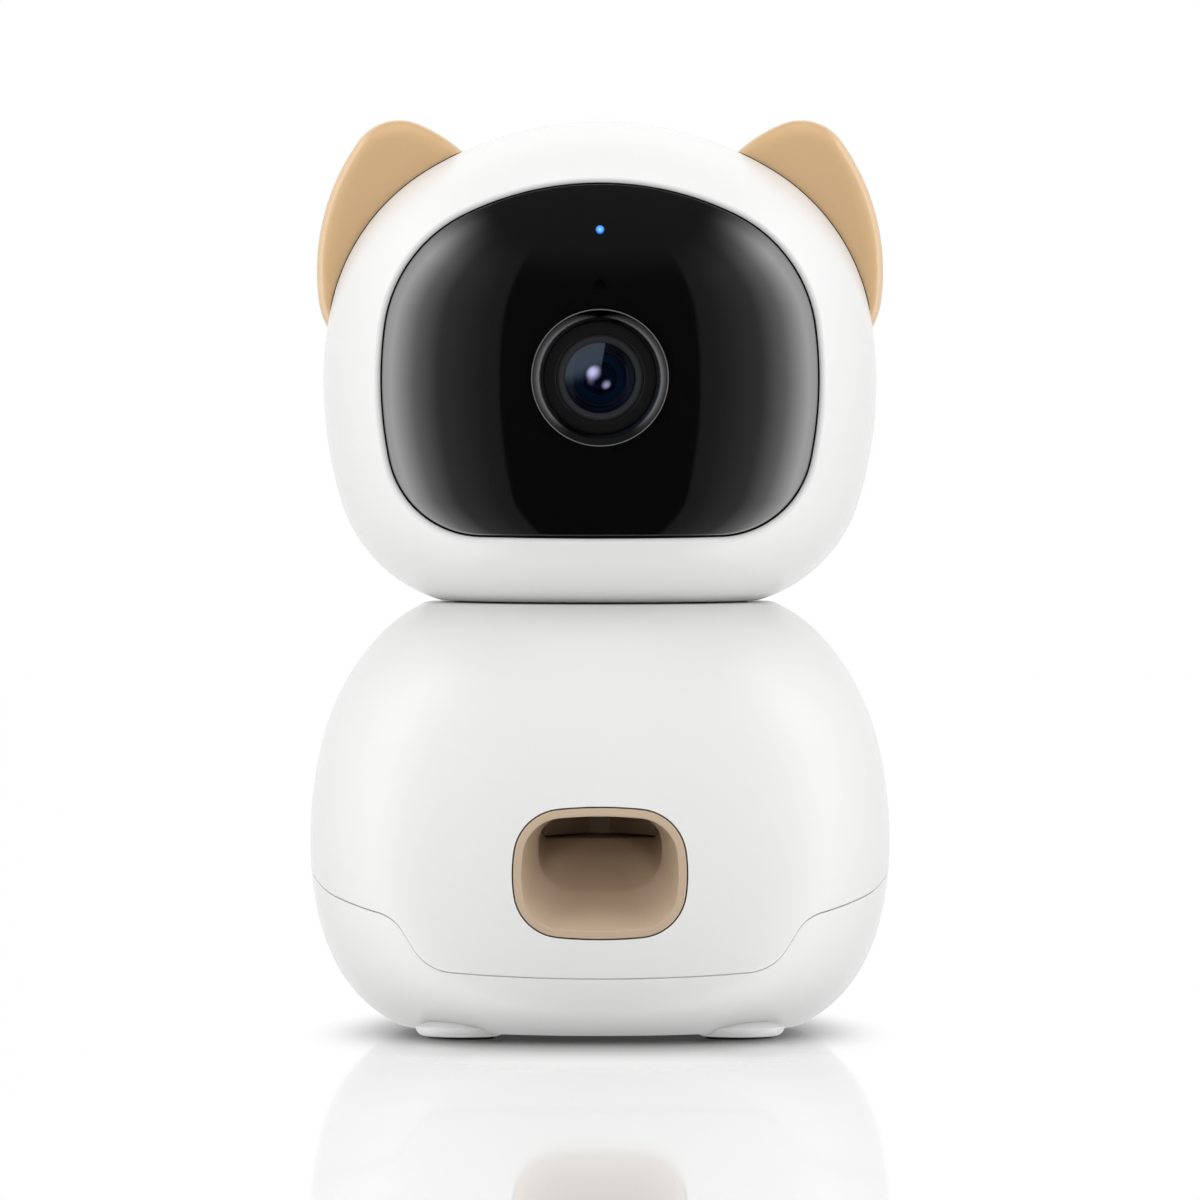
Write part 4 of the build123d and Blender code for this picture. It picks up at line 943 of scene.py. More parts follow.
@dataclass
class Visor:
    """Glossy visor, its dark gasket, the light pipe and the sensor hole."""

    skin: HeadSkin
    finish: Finishes
    inset: float = 0.8
    thickness: float = 1.8
    wall: float = 1.6
    gasket_inset: float = 1.05
    gasket_width: float = 0.8
    gasket_round: float = 0.3
    gap: float = 0.15
    lens_hole: float = 15.1
    edge_round: float = 0.4
    light_z: float = 177.94
    light_radius: float = 0.92
    light_rise: float = 0.25
    light_depth: float = 4.0
    hole_z: float = 165.83
    hole_radius: float = 1.12

    def build(self) -> list[bpy.types.Object]:
        """Build the visor and what sits in it.

        Returns:
            The objects.
        """
        return [self._panel(), self._gasket(), self._light()]

    def _panel(self) -> bpy.types.Object:
        """Curved black panel.

        Returns:
            The object.
        """
        skin = self.skin
        hole = np.full(len(skin.around), self.lens_hole)
        mesh = skin.patch(skin.at_front_radius(hole),
                          skin.at_front_radius(skin.visor_edge() - self.gasket_width - self.gap),
                          self.inset, (0.15, self.edge_round), (self.wall, self.wall), 70)
        piece = as_object(mesh, "visor_panel", self.finish.black_gloss)
        thicken(piece, self.thickness)
        holes = bmesh.new()
        for z, radius in ((self.light_z, self.light_radius + 0.08), (self.hole_z, self.hole_radius)):
            add_pin(holes, (0.0, -55.0, z), radius, 16.0)
        carve(piece, [holes])
        return seat(piece, Body.HEAD, "visor_black", "visor")

    def _gasket(self) -> bpy.types.Object:
        """Narrow dark frame between the shell and the visor."""
        skin, edge = self.skin, self.skin.visor_edge()
        mesh = skin.patch(skin.at_front_radius(edge - self.gasket_width), skin.at_front_radius(edge - 0.02),
                          self.gasket_inset, (self.gasket_round, self.gasket_round), (self.wall, self.wall), 2)
        piece = as_object(mesh, "visor_frame", self.finish.black_rubber)
        return seat(piece, Body.HEAD, "rubber_dark", "visor_gasket")

    def _light(self) -> bpy.types.Object:
        """Small domed light pipe, flush with the visor.

        Returns:
            The object.
        """
        level = np.argsort(self.skin.height)
        front = self.inset + 0.3 - float(np.interp(self.light_z, self.skin.height[level], self.skin.radius[level]))
        radius, back = self.light_radius, front + self.light_depth
        dome = [(radius * math.sin(a), front - self.light_rise * math.cos(a))
                for a in np.linspace(0.0, math.pi / 2, 8)]
        mesh = spun([*dome, (radius, back), (0.0, back)], (0.0, self.light_z), 48)
        piece = as_object(mesh, "status_lamp", self.finish.light)
        return seat(piece, Body.HEAD, "status_blue", "status_light")


@dataclass
class LensUnit:
    """Fixed lens ring and the tilting ball with its optics."""

    finish: Finishes
    axis_z: float = LENS_AXIS_Z
    ball_radius: float = 15.2
    ball_back_y: float = -42.0
    face_y: float = -58.7
    face_radius: float = 12.0
    ring_front_y: float = -60.7
    ring_back_y: float = -56.3
    ring_outer: float = 15.0
    cone_outer: float = 14.6
    cone_inner: float = 12.35
    barrel_radius: float = 9.6
    barrel_front_y: float = -58.2
    barrel_back_y: float = -41.0
    barrel_bore: list[Point] = field(default_factory=lambda: [
        (6.3, -54.2), (5.7, -54.0), (5.62, -50.5), (3.5, -50.2), (3.4, -49.8), (4.5, -49.0)])
    glass_radius: float = 7.6
    glass_front_y: float = -59.3
    glass_edge_y: float = -57.4
    glass_thickness: float = 1.5
    dome_radius: float = 3.8
    dome_centre_y: float = -50.8
    inner_radius: float = 5.6
    inner_back_y: float = -51.4

    def build(self) -> list[bpy.types.Object]:
        """Build the ring and the optics.

        Returns:
            The objects.
        """
        return [self._ring(), self._painted_crest_line(), self._ball(), self._barrel(), self._front_glass(),
                self._inner_glass()]

    def _add(self, outline: list[Point], name: str, material: bpy.types.Material, body: Body, node: str, slot: str,
             bevel: float = 0.0, steps: int = 160) -> bpy.types.Object:
        """Turn an outline around the lens axis and tie it to its body.

        Args:
            outline: Points as radius and y.
            name: Object name.
            material: Finish.
            body: Body that it rides on.
            node: Node that it replaces.
            slot: Material slot.
            bevel: Rounding of sharp corners.
            steps: Segments.

        Returns:
            The object.
        """
        mesh = spun(outline, (0.0, self.axis_z), steps, bevel=bevel)
        return seat(as_object(mesh, name, material, 30.0), body, slot, node)

    def _ring(self) -> bpy.types.Object:
        """Conical dark ring with a thin bright rim.

        Returns:
            The object.
        """
        front, back, inner = self.ring_front_y, self.ring_back_y, self.cone_inner
        outline = [(inner + 1.6, back), (inner + 0.25, front + 2.35), (inner, front + 1.95),
                   (inner + 0.1, front + 1.75), (self.cone_outer - 0.1, front + 0.12),
                   (self.cone_outer + 0.12, front), (self.ring_outer - 0.05, front + 0.12),
                   (self.ring_outer, front + 0.4), (self.ring_outer, back), (inner + 1.6, back)]
        return self._add(outline, "lens_ring", self.finish.dark_ring, Body.HEAD, "lens_bezel", "dark_metal", 0.04)

    def _painted_crest_line(self) -> bpy.types.Object:
        """Hair-thin paler line on the crest of the ring: a painted highlight.

        Returns:
            The object.
        """
        middle, half = self.ring_outer - 0.14, 0.12
        front = self.ring_front_y + 0.04
        crest = [(middle - half * math.cos(a), front - half * math.sin(a)) for a in np.linspace(0.0, math.pi, 9)]
        foot = front + 0.3
        outline = [(crest[0][0], foot), *crest, (crest[-1][0], foot), (crest[0][0], foot)]
        return self._add(outline, "lens_ring_painted_crest", self.finish.crest_highlight_paint, Body.HEAD, "lens_bezel", "dark_metal")

    def _ball(self) -> bpy.types.Object:
        """Ball with its flat front face.

        Returns:
            The object.
        """
        centre_y = self.face_y + math.sqrt(self.ball_radius**2 - self.face_radius**2)
        start = math.asin(self.face_radius / self.ball_radius)
        side = [(self.ball_radius * math.sin(a), centre_y - self.ball_radius * math.cos(a))
                for a in np.linspace(start + 0.02, 2.1, 40)]
        bore, face = self.barrel_radius, self.face_y
        outline = [(bore, self.ball_back_y), (bore, face + 0.25), (bore + 0.25, face), (self.face_radius - 0.5, face),
                   (self.face_radius - 0.15, face + 0.1), *side, (bore, self.ball_back_y)]
        return self._add(outline, "lens_ball_skin", self.finish.black_satin, Body.LENS, "lens_ball", "lens_black")

    def _barrel(self) -> bpy.types.Object:
        """Stepped barrel around the glass.

        Returns:
            The object.
        """
        front, back, outer = self.barrel_front_y, self.barrel_back_y, self.barrel_radius - 0.02
        glass, edge = self.glass_radius, self.glass_edge_y
        outline = [(outer, back), (outer, front + 0.55), (outer - 0.7, front), (glass + 0.7, front + 0.1),
                   (glass + 0.1, front + 0.7), (glass + 0.02, edge + 1.6), (6.6, edge + 1.9),
                   *self.barrel_bore, (self.barrel_bore[-1][0], back), (outer, back)]
        return self._add(outline, "lens_barrel_skin", self.finish.barrel, Body.LENS, "lens_barrel", "lens_black",
                         0.08)

    def _front_glass(self) -> bpy.types.Object:
        """Domed outer element.

        Returns:
            The object.
        """
        rise = self.glass_edge_y - self.glass_front_y
        curve = (self.glass_radius**2 + rise**2) / (2 * rise)
        front = [(radius, self.glass_front_y + curve - math.sqrt(curve**2 - radius**2))
                 for radius in np.linspace(0.0, self.glass_radius, 24)]
        back = [(radius, y + self.glass_thickness) for radius, y in reversed(front)]
        return self._add(front + back, "glass_outer", self.finish.glass, Body.LENS, "front_glass", "optical_glass",
                         steps=96)

    def _inner_glass(self) -> bpy.types.Object:
        """Inner element, whose coating shows soft lights.

        Returns:
            The object.
        """
        dome = [(r, self.dome_centre_y - math.sqrt(self.dome_radius**2 - r**2))
                for r in 3.7 * np.sin(np.linspace(0.0, math.pi / 2, 28))]
        shelf, back, edge = self.inner_back_y - 0.22, self.inner_back_y, self.inner_radius
        outline = [*dome, (3.9, shelf), (edge, shelf), (edge, back), (0.0, back)]
        return self._add(outline, "glass_inner", self.finish.inner_glass, Body.LENS, "inner_lens", "optical_glass",
                         steps=96)


@dataclass
class Ears:
    """Two upright ears with rounded rims, set on the head, each with a thin black strip of painted shadow along its
    foot.
    """

    skin: HeadSkin
    finish: Finishes
    start: Point = (61.11, 157.1)
    heading: float = 61.2
    arcs: Arcs = field(default_factory=lambda: [(17.3, 21.5), (50.4, 42.7), (11.3, 76.8), (33.3, 33.0)])
    buried: list[Point] = field(default_factory=lambda: [(33.0, 172.0), (42.0, 162.0), (52.0, 157.0)])
    centre: Point = (48.0, 179.0)
    front_y: float = -5.0
    depth: float = 11.0
    rim: float = 4.4
    dish: float = 0.3
    columns: int = 480
    # Painted shadow at the foot of each ear: angles, depths, rise and root of the black strip, and its columns.
    painted_shade_turns: Point = (13.4, 59.6)
    painted_shade_y: Point = (-5.45, -4.6)
    painted_shade_rise: float = 0.16
    painted_shade_root: float = 0.4
    painted_shade_columns: int = 90

    def build(self) -> list[bpy.types.Object]:
        """Build both ears.

        Returns:
            The objects.
        """
        return [self._ear("ear_right", "right_ear", 1.0), self._ear("ear_left", "left_ear", -1.0),
                self._painted_shade_strip("ear_painted_shade_right", 1.0), self._painted_shade_strip("ear_painted_shade_left", -1.0)]

    def _painted_shade_strip(self, name: str, side: float) -> bpy.types.Object:
        """Thin black strip on the head along the foot of one ear: painted shadow for the shade in the gap between ear
        and head.

        Args:
            name: Object name.
            side: 1 for the right ear, -1 for the left.

        Returns:
            The object.
        """
        turns = np.radians(np.linspace(*self.painted_shade_turns, self.painted_shade_columns))
        count = np.arange(self.painted_shade_columns)
        fade = np.clip(np.minimum(count, count[::-1]) / 4.0, 0.0, 1.0)
        phi = np.linspace(1.2, 1.9, 400)
        depths = self.skin.shoot(*np.meshgrid(turns, phi), 0.0)[0][..., 1]
        crest, root = self.painted_shade_rise * fade - 0.1 * (1 - fade), np.full(self.painted_shade_columns, -self.painted_shade_root)
        front, back = self.painted_shade_y
        table = []
        for y, lift in ((front, root), (front, crest), (back, crest), (back, root)):
            angle = np.array([np.interp(y, depths[:, k], phi) for k in range(len(turns))])
            spot, normal = self.skin.shoot(turns, angle, 0.0)
            table.append((spot + normal * lift[:, None]) * np.array([side, 1.0, 1.0]))
        # Black strip standing in for the shade between ear and head: painted shadow.
        piece = as_object(warped_grid(np.array(table)), name, self.finish.black_rubber)
        return seat(piece, Body.HEAD, "rubber_dark")

    def _outline(self) -> tuple[np.ndarray, np.ndarray]:
        """Rim of the ear as polar radius around its centre.

        Returns:
            Angles and radii.
        """
        line = ArcProfile(self.start, self.heading, self.arcs).sample(50)[:, :2]
        points = np.array([*line, line[-1] + np.array([1.0, -8.0]), *self.buried]) - np.array(self.centre)
        angles = np.arctan2(points[:, 1], points[:, 0])
        order = np.argsort(angles)
        return angles[order], np.hypot(points[:, 0], points[:, 1])[order]

    def _ear(self, name: str, node: str, side: float) -> bpy.types.Object:
        """One ear as a closed, softly dished pad.

        Args:
            name: Object name.
            node: Node that it replaces.
            side: 1 for the right ear, -1 for the left.

        Returns:
            The object.
        """
        angles, radii = self._outline()
        around = directions(self.columns) - math.pi
        edge = np.interp(around, angles, radii, period=2 * math.pi)
        inner, back_y = edge - self.rim, self.front_y + self.depth
        flat = [(inner * share, self.front_y + self.dish * (1 - share**2)) for share in np.linspace(0.0, 1.0, 14)]
        rim = []
        for a in np.radians(np.arange(9, 180, 9)):
            depth = (self.front_y + self.rim * (1 - math.cos(a)) if a <= math.pi / 2
                     else back_y - self.rim * (1 + math.cos(a)))
            rim.append((inner + self.rim * math.sin(a), depth))
        back = [(reach, self.front_y + back_y - depth) for reach, depth in reversed(flat)]
        table = [np.stack([side * (self.centre[0] + reach * np.cos(around)), np.full(len(around), depth),
                           self.centre[1] + reach * np.sin(around)], axis=-1)
                 for reach, depth in [*flat, *rim, *back]]
        piece = as_object(warped_grid(np.array(table)), name, self.finish.ear)
        return seat(piece, Body.HEAD, "ear_tan", node)


# Base

@dataclass
class BaseSkin:
    """Round surface of the base, tabulated along its side outline from the bottom up."""

    radius: float = 65.0
    waist_z: float = 42.0
    bottom_z: float = 1.0
    top_z: float = 95.3
    upper: Arcs = field(default_factory=lambda: [(95.0, 13.6), (53.3, 28.6), (33.3, 27.0)])
    lower: Arcs = field(default_factory=lambda: [(75.7, -12.6), (44.8, -15.4), (30.7, -77.8)])
    parting_z: float = 14.26
    parting: Arcs = field(default_factory=lambda: [
        (645.0, 2.9), (10.5, 54.9), (200.0, 1.3), (8.6, -46.5), (81.0, 7.2), (11.7, 33.8)])
    parting_range: Point = (12.0, 40.0)
    columns: int = 720

    def __post_init__(self) -> None:
        """Join the lower and upper outlines into one table."""
        up = ArcProfile((self.radius, self.waist_z), 90.0, self.upper).sample()[1:]
        down = ArcProfile((self.radius, self.waist_z), -90.0, self.lower).sample()
        down = down[down[:, 1] >= self.bottom_z - 0.2][::-1]
        self.r = np.concatenate([down[:, 0], up[:, 0]])
        self.z = np.concatenate([down[:, 1], up[:, 1]])
        self.nr = np.concatenate([-np.sin(down[:, 2]), np.sin(up[:, 2])])
        self.nz = np.concatenate([np.cos(down[:, 2]), -np.cos(up[:, 2])])
        self.s = np.concatenate([[0.0], np.cumsum(np.hypot(np.diff(self.r), np.diff(self.z)))])
        self.around = directions(self.columns)

    def radius_at(self, z: np.ndarray | float) -> np.ndarray:
        """Radius of the skin at a height."""
        return np.interp(z, self.z, self.r)

    def length_at(self, z: np.ndarray | float) -> np.ndarray:
        """Length along the outline at a height."""
        return np.interp(z, self.z, self.s)

    def front_y(self, x: np.ndarray, z: np.ndarray) -> np.ndarray:
        """Depth of the front of the skin behind a point of the front view."""
        return -np.sqrt(np.maximum(self.radius_at(z) ** 2 - x**2, 0.0))

    def ring(self, radius: float, z: float) -> np.ndarray:
        """A level ring of points."""
        return np.stack([radius * np.cos(self.around), radius * np.sin(self.around),
                         np.full(len(self.around), z)], axis=-1)

    def parting_height(self) -> np.ndarray:
        """Height of the parting line in every direction around the base.

        Returns:
            One height for each column.
        """
        line = ArcProfile((0.0, self.parting_z), 0.0, self.parting).sample(40)
        run = 20.0
        xs = np.append(line[:, 0], line[-1, 0] + run)
        zs = np.append(line[:, 1], line[-1, 1] + run * math.tan(line[-1, 2]))
        low, high = (np.full(len(self.around), z) for z in self.parting_range)
        for _ in range(40):
            height = (low + high) / 2
            target = np.interp(np.abs(self.radius_at(height) * np.cos(self.around)), xs, zs)
            low = np.where(target > height, height, low)
            high = np.where(target > height, high, height)
        return height

    def rows(self, plan: list[tuple[np.ndarray, float]]) -> list[np.ndarray]:
        """Points of planned rows.

        Args:
            plan: Pairs of lengths for all columns and a depth below the skin.

        Returns:
            One table of points for each row.
        """
        table = []
        for length, depth in plan:
            r = np.interp(length, self.s, self.r) - np.interp(length, self.s, self.nr) * depth
            z = np.interp(length, self.s, self.z) - np.interp(length, self.s, self.nz) * depth
            table.append(np.stack([r * np.cos(self.around), r * np.sin(self.around), z], axis=-1))
        return table


@dataclass
class BaseShells:
    """Upper and lower shells of the base, meeting at the curved parting line."""

    skin: BaseSkin
    finish: Finishes
    wall: float = 2.4
    gap: float = 0.3
    edge_round: float = 0.12
    top_round: float = 0.9
    top_rise: float = 0.4
    bearing_hole: float = 20.0
    chute_top_z: float = CHUTE_TOP_Z
    chute_arcs: Arcs = field(default_factory=lambda: list(CHUTE_ARCS))
    window_z: Point = (62.6, 75.6)
    window_reach: Point = (40.0, 75.0)
    window_half_angle: float = 21.0
    slot_size: Triple = (11.4, 30.0, 5.4)
    slot_round: float = 2.65
    socket_z: float = SOCKET_Z
    button: Point = BUTTON_SPOT
    button_hole: float = 2.7
    rear_y: float = 60.0
    foot_centre: float = FOOT_CENTRE
    foot_outline: list[Point] = field(default_factory=lambda: [(0.0, 1.7), (7.5, 1.7), (7.5, 0.3), (7.6, 0.25)])
    foot_round: float = 1.9
    foot_round_centre: Point = (8.1, 2.15)
    foot_top: list[Point] = field(default_factory=lambda: [(10.0, 2.3), (7.0, 3.4), (0.0, 3.4)])

    def build(self) -> list[bpy.types.Object]:
        """Build both shells.

        Returns:
            The objects.
        """
        return [self._upper(), self._lower()]

    def _upper(self) -> bpy.types.Object:
        """Upper shell with the chute, window, socket and button openings.

        Returns:
            The object.
        """
        skin = self.skin
        low = skin.length_at(skin.parting_height()) + self.gap / 2
        high = np.full(len(skin.around), float(skin.length_at(skin.top_z)) - self.top_round)
        table = skin.rows(lip_rows(low, high, (self.edge_round, 0.0), (self.wall, 0.0), 110))
        side = np.array([np.interp(high[0], skin.s, skin.r), np.interp(high[0], skin.s, skin.z)])
        level = skin.top_z + self.top_rise
        corner = np.array([float(skin.radius_at(skin.top_z)) - 0.35, level])
        inward = corner - np.array([self.top_round, 0.0])
        for t in np.linspace(0.0, 1.0, 9)[1:]:
            table.append(skin.ring(*((1 - t) ** 2 * side + 2 * t * (1 - t) * corner + t**2 * inward)))
        hole = self.bearing_hole
        table += [skin.ring(radius, z) for radius, z in (
            (inward[0] - 1.0, level), (hole + 3.3, level), (hole + 3.0, skin.top_z), (hole, skin.top_z - 0.3),
            (hole, skin.top_z - self.wall))]
        piece = as_object(warped_grid(np.array(table)), "base_upper_skin", self.finish.white)
        thicken(piece, self.wall * 0.85)
        carve(piece, [self._chute_cutter(), self._window_cutter(), self._small_cutters()])
        return seat(piece, Body.BASE, "shell_white", "base_shell_upper")

    def _chute_cutter(self) -> Mesh:
        """Prism in the chute's outline that opens its hole.

        Returns:
            The cutting mesh.
        """
        half = arc_outline(self.chute_top_z, self.chute_arcs, self.gap)[::6]
        loop = [*half, *[(-x, z) for x, z in half[-1:0:-1] if x > 0.01]]
        mesh = bmesh.new()
        face = mesh.faces.new([mesh.verts.new((x, -45.0, z)) for x, z in loop])
        grown = bmesh.ops.extrude_face_region(mesh, geom=[face])["geom"]
        moved = [item for item in grown if isinstance(item, bmesh.types.BMVert)]
        bmesh.ops.translate(mesh, vec=(0.0, -40.0, 0.0), verts=moved)
        bmesh.ops.recalc_face_normals(mesh, faces=mesh.faces)
        return mesh

    def _window_cutter(self) -> Mesh:
        """Ring sector that opens the fill window.

        Returns:
            The cutting mesh.
        """
        (low, high), (near, far) = self.window_z, self.window_reach
        mesh = bmesh.new()
        start = math.radians(90.0 - self.window_half_angle)
        corners = [mesh.verts.new((r * math.cos(start), r * math.sin(start), z))
                   for r, z in ((near, low), (far, low), (far, high), (near, high))]
        face = mesh.faces.new(corners)
        bmesh.ops.spin(mesh, geom=[face, *face.edges, *corners], cent=(0, 0, 0), axis=(0, 0, 1),
                       angle=math.radians(2 * self.window_half_angle), steps=40, use_duplicate=False)
        bmesh.ops.remove_doubles(mesh, verts=mesh.verts, dist=1e-3)
        loops = [e for e in mesh.edges if e.is_boundary]
        if loops:
            bmesh.ops.holes_fill(mesh, edges=loops)
        bmesh.ops.recalc_face_normals(mesh, faces=mesh.faces)
        return mesh

    def _small_cutters(self) -> Mesh:
        """Cutters of the socket slot and the button hole.

        Returns:
            The cutting mesh.
        """
        slot = sleeve_block(self.slot_size, (0.0, self.rear_y, self.socket_z), self.slot_round, 10)
        hole = bmesh.new()
        add_pin(hole, (self.button[0], self.rear_y, self.button[1]), self.button_hole, 24.0)
        return merged([slot, hole])

    def _lower(self) -> bpy.types.Object:
        """Lower shell with its foot bosses.

        Returns:
            The object.
        """
        skin = self.skin
        high = skin.length_at(skin.parting_height()) - self.gap / 2
        first = np.full(len(skin.around), float(skin.length_at(skin.bottom_z)))
        table = [skin.ring(radius, skin.bottom_z) for radius in (0.0, 20.0, 40.0)]
        table += skin.rows(lip_rows(first, high, (0.0, self.edge_round), (0.0, self.wall), 60))
        r, z = self.foot_round_centre
        edge = [(r + self.foot_round * math.sin(a), z - self.foot_round * math.cos(a))
                for a in np.radians(range(0, 91, 9))]
        outline = [*self.foot_outline, *edge, *self.foot_top]
        bosses = [spun(outline, (x, y), 96, upright=True)
                  for x in (-self.foot_centre, self.foot_centre) for y in (-self.foot_centre, self.foot_centre)]
        piece = as_object(merged([warped_grid(np.array(table)), *bosses]), "base_lower_skin", self.finish.white)
        return seat(piece, Body.BASE, "shell_white", "base_shell_lower")


@dataclass
class Chute:
    """Beige treat chute with a rounded rim and a ramp that rises to the rotor.

    The channel and the throat are half width, floor, ceiling, bottom corner and top corner.
    """

    skin: BaseSkin
    finish: Finishes
    top_z: float = CHUTE_TOP_Z
    arcs: Arcs = field(default_factory=lambda: list(CHUTE_ARCS))
    rim: float = 1.85
    lip: float = 0.4
    edge: list[Point] = field(default_factory=lambda: [(0.0, 5.0), (0.0, 0.3), (0.03, 0.15), (0.12, 0.04)])
    face_from: float = 0.3
    channel_y: float = -50.0
    channel: tuple[float, float, float, float, float] = (13.6, 33.0, 50.2, 8.4, 7.0)
    tail_y: float = -28.4
    tail_turn: float = 0.8
    throat: tuple[float, float, float, float, float] = (13.0, 43.7, 50.5, 1.8, 1.8)
    columns: int = 480
    rows: int = 24

    def _spots(self, outline: np.ndarray) -> tuple[np.ndarray, np.ndarray]:
        """Front-view points of a symmetric outline.

        Args:
            outline: Its right half.

        Returns:
            Arrays of x and z.
        """
        theta = directions(self.columns)
        middle = (outline[0, 1] + outline[-1, 1]) / 2
        reach = polar_reach(outline, middle, theta)
        return reach * np.cos(theta), middle + reach * np.sin(theta)

    def _rim_row(self, offset: float, depth: float) -> np.ndarray:
        """Row of the rim, a distance in from its edge and below the skin.

        Args:
            offset: Distance in from the outer edge.
            depth: Distance behind the skin.

        Returns:
            Points of the row.
        """
        x, z = self._spots(arc_outline(self.top_z, self.arcs, -offset))
        return np.stack([x, self.skin.front_y(x, z) + depth, z], axis=-1)

    def _funnel_rows(self) -> list[np.ndarray]:
        """Rows from the lip along the flare and the channel to the throat.

        Returns:
            The rows.
        """
        mouth, channel, throat = (
            np.stack([x, y if y is not None else self.skin.front_y(x, z) + self.lip, z], axis=-1)
            for (x, z), y in ((self._spots(arc_outline(self.top_z, self.arcs, -self.rim)), None),
                              (self._spots(passage_outline(*self.channel)), np.full(self.columns + 1, self.channel_y)),
                              (self._spots(passage_outline(*self.throat)), np.full(self.columns + 1, self.tail_y))))
        shares = np.linspace(0.0, 1.0, self.rows)
        return [*[mouth + (channel - mouth) * t for t in shares],
                *[channel + (throat - channel) * t for t in shares[1:]]]

    def build(self) -> bpy.types.Object:
        """Build the chute.

        Returns:
            The object.
        """
        turned = self.rim - self.lip
        table = [self._rim_row(*spot) for spot in (*self.edge, (self.face_from, 0.0))]
        table += [self._rim_row(self.face_from + (turned - self.face_from) * k / 3, 0.0) for k in (1, 2, 3)]
        table += [self._rim_row(turned + self.lip * math.sin(a), self.lip * (1 - math.cos(a)))
                  for a in np.radians(np.arange(7.5, 90.0, 7.5))]
        table += self._funnel_rows()
        table.append(table[-1] + np.array([0.0, self.tail_turn, 0.0]))
        piece = as_object(warped_grid(np.array(table)), "chute_skin", self.finish.chute, 10.0)
        return seat(piece, Body.BASE, "ear_tan", "treat_chute")


@dataclass
class RearFittings:
    """Fill shutter with its thumb tab, the pairing button and the power socket."""

    skin: BaseSkin
    finish: Finishes
    shutter_inset: float = 2.85
    shutter_depth: float = 1.5
    shutter_z: Point = (58.6, 77.2)
    shutter_half_angle: float = 24.0
    shutter_round: float = 0.15
    tab_angle: float = 72.0
    tab_half_angle: float = 1.0
    tab_inset: float = 0.6
    tab_z: Point = (63.6, 74.6)
    button: Point = BUTTON_SPOT
    button_outline: list[Point] = field(default_factory=lambda: [
        (0.0, 58.75), (1.2, 58.8), (1.9, 58.95), (2.25, 59.0), (2.5, 58.75), (2.5, 55.3), (3.6, 55.2),
        (3.6, 54.2), (2.5, 54.1), (2.5, 51.6), (0.0, 51.6)])
    socket_z: float = SOCKET_Z
    socket_size: Triple = (9.0, 11.0, 3.2)
    socket_middle_y: float = 55.5
    socket_wall: float = 0.32
    socket_depth: float = 6.5
    tongue_size: Triple = (6.6, 6.0, 0.7)
    tongue_middle_y: float = 57.4

    def build(self) -> list[bpy.types.Object]:
        """Build the fittings.

        Returns:
            The objects.
        """
        return [self._shutter(), self._button(), self._socket()]

    def _slab(self, heights: np.ndarray, insets: Point, degrees: np.ndarray) -> Mesh:
        """Closed curved slab between two depths below the skin.

        Args:
            heights: Heights of the rows.
            insets: Outer and inner depth.
            degrees: Angles of the columns.

        Returns:
            The mesh.
        """
        table, a = [], np.radians(degrees)
        for z in heights:
            slope = float(np.interp(self.skin.length_at(z), self.skin.s, self.skin.nr))
            r = float(self.skin.radius_at(z)) - insets[0] / max(slope, 0.3)
            table.append(np.stack([r * np.cos(a), r * np.sin(a), np.full(len(a), z)], axis=-1))
        mesh = warped_grid(np.array(table))
        mesh.faces.ensure_lookup_table()
        if mesh.faces[0].normal.dot(mesh.faces[0].calc_center_median()) < 0:
            bmesh.ops.reverse_faces(mesh, faces=mesh.faces)
        bmesh.ops.solidify(mesh, geom=list(mesh.faces), thickness=-(insets[1] - insets[0]))
        bmesh.ops.recalc_face_normals(mesh, faces=mesh.faces)
        return mesh

    def _shutter(self) -> bpy.types.Object:
        """Shutter with the tab that the thumb pushes.

        Returns:
            The object.
        """
        slab = self._slab(np.linspace(*self.shutter_z, 14),
                          (self.shutter_inset, self.shutter_inset + self.shutter_depth),
                          np.linspace(90.0 - self.shutter_half_angle, 90.0 + self.shutter_half_angle, 49))
        tab = self._slab(np.linspace(*self.tab_z, 10), (self.tab_inset, self.shutter_inset + 0.4),
                         np.linspace(self.tab_angle - self.tab_half_angle, self.tab_angle + self.tab_half_angle, 4))
        piece = as_object(merged([slab, tab]), "shutter_skin", self.finish.grey)
        soft = piece.modifiers.new("edges", "BEVEL")
        soft.width = self.shutter_round * MM
        soft.segments = 2
        soft.limit_method = "ANGLE"
        return seat(piece, Body.SHUTTER, "lens_black", "fill_shutter")

    def _button(self) -> bpy.types.Object:
        """Round button with a dished cap."""
        piece = as_object(spun(self.button_outline, self.button, 64), "button_skin", self.finish.button, 50.0)
        return seat(piece, Body.BUTTON, "button_grey", "pairing_button")

    def _socket(self) -> bpy.types.Object:
        """Power socket: a rounded metal sleeve with its tongue.

        Returns:
            The object.
        """
        sleeve = sleeve_block(self.socket_size, (0.0, self.socket_middle_y, self.socket_z), 1.55, 8)
        mouth = [face for face in sleeve.faces if face.normal.y > 0.9]
        bmesh.ops.inset_region(sleeve, faces=mouth, thickness=self.socket_wall, depth=0.0)
        mouth = [face for face in sleeve.faces if face.normal.y > 0.9 and face.calc_area() > 10.0]
        deep = bmesh.ops.extrude_discrete_faces(sleeve, faces=mouth)["faces"]
        bmesh.ops.translate(sleeve, vec=(0.0, -self.socket_depth, 0.0), verts=[v for face in deep for v in face.verts])
        tongue = block(self.tongue_size, (0.0, self.tongue_middle_y, self.socket_z))
        soften(tongue, list(tongue.edges), 0.1, 3)
        piece = as_object(merged([sleeve, tongue]), "socket_skin", self.finish.steel)
        return seat(piece, Body.BASE, "steel", "power_socket")


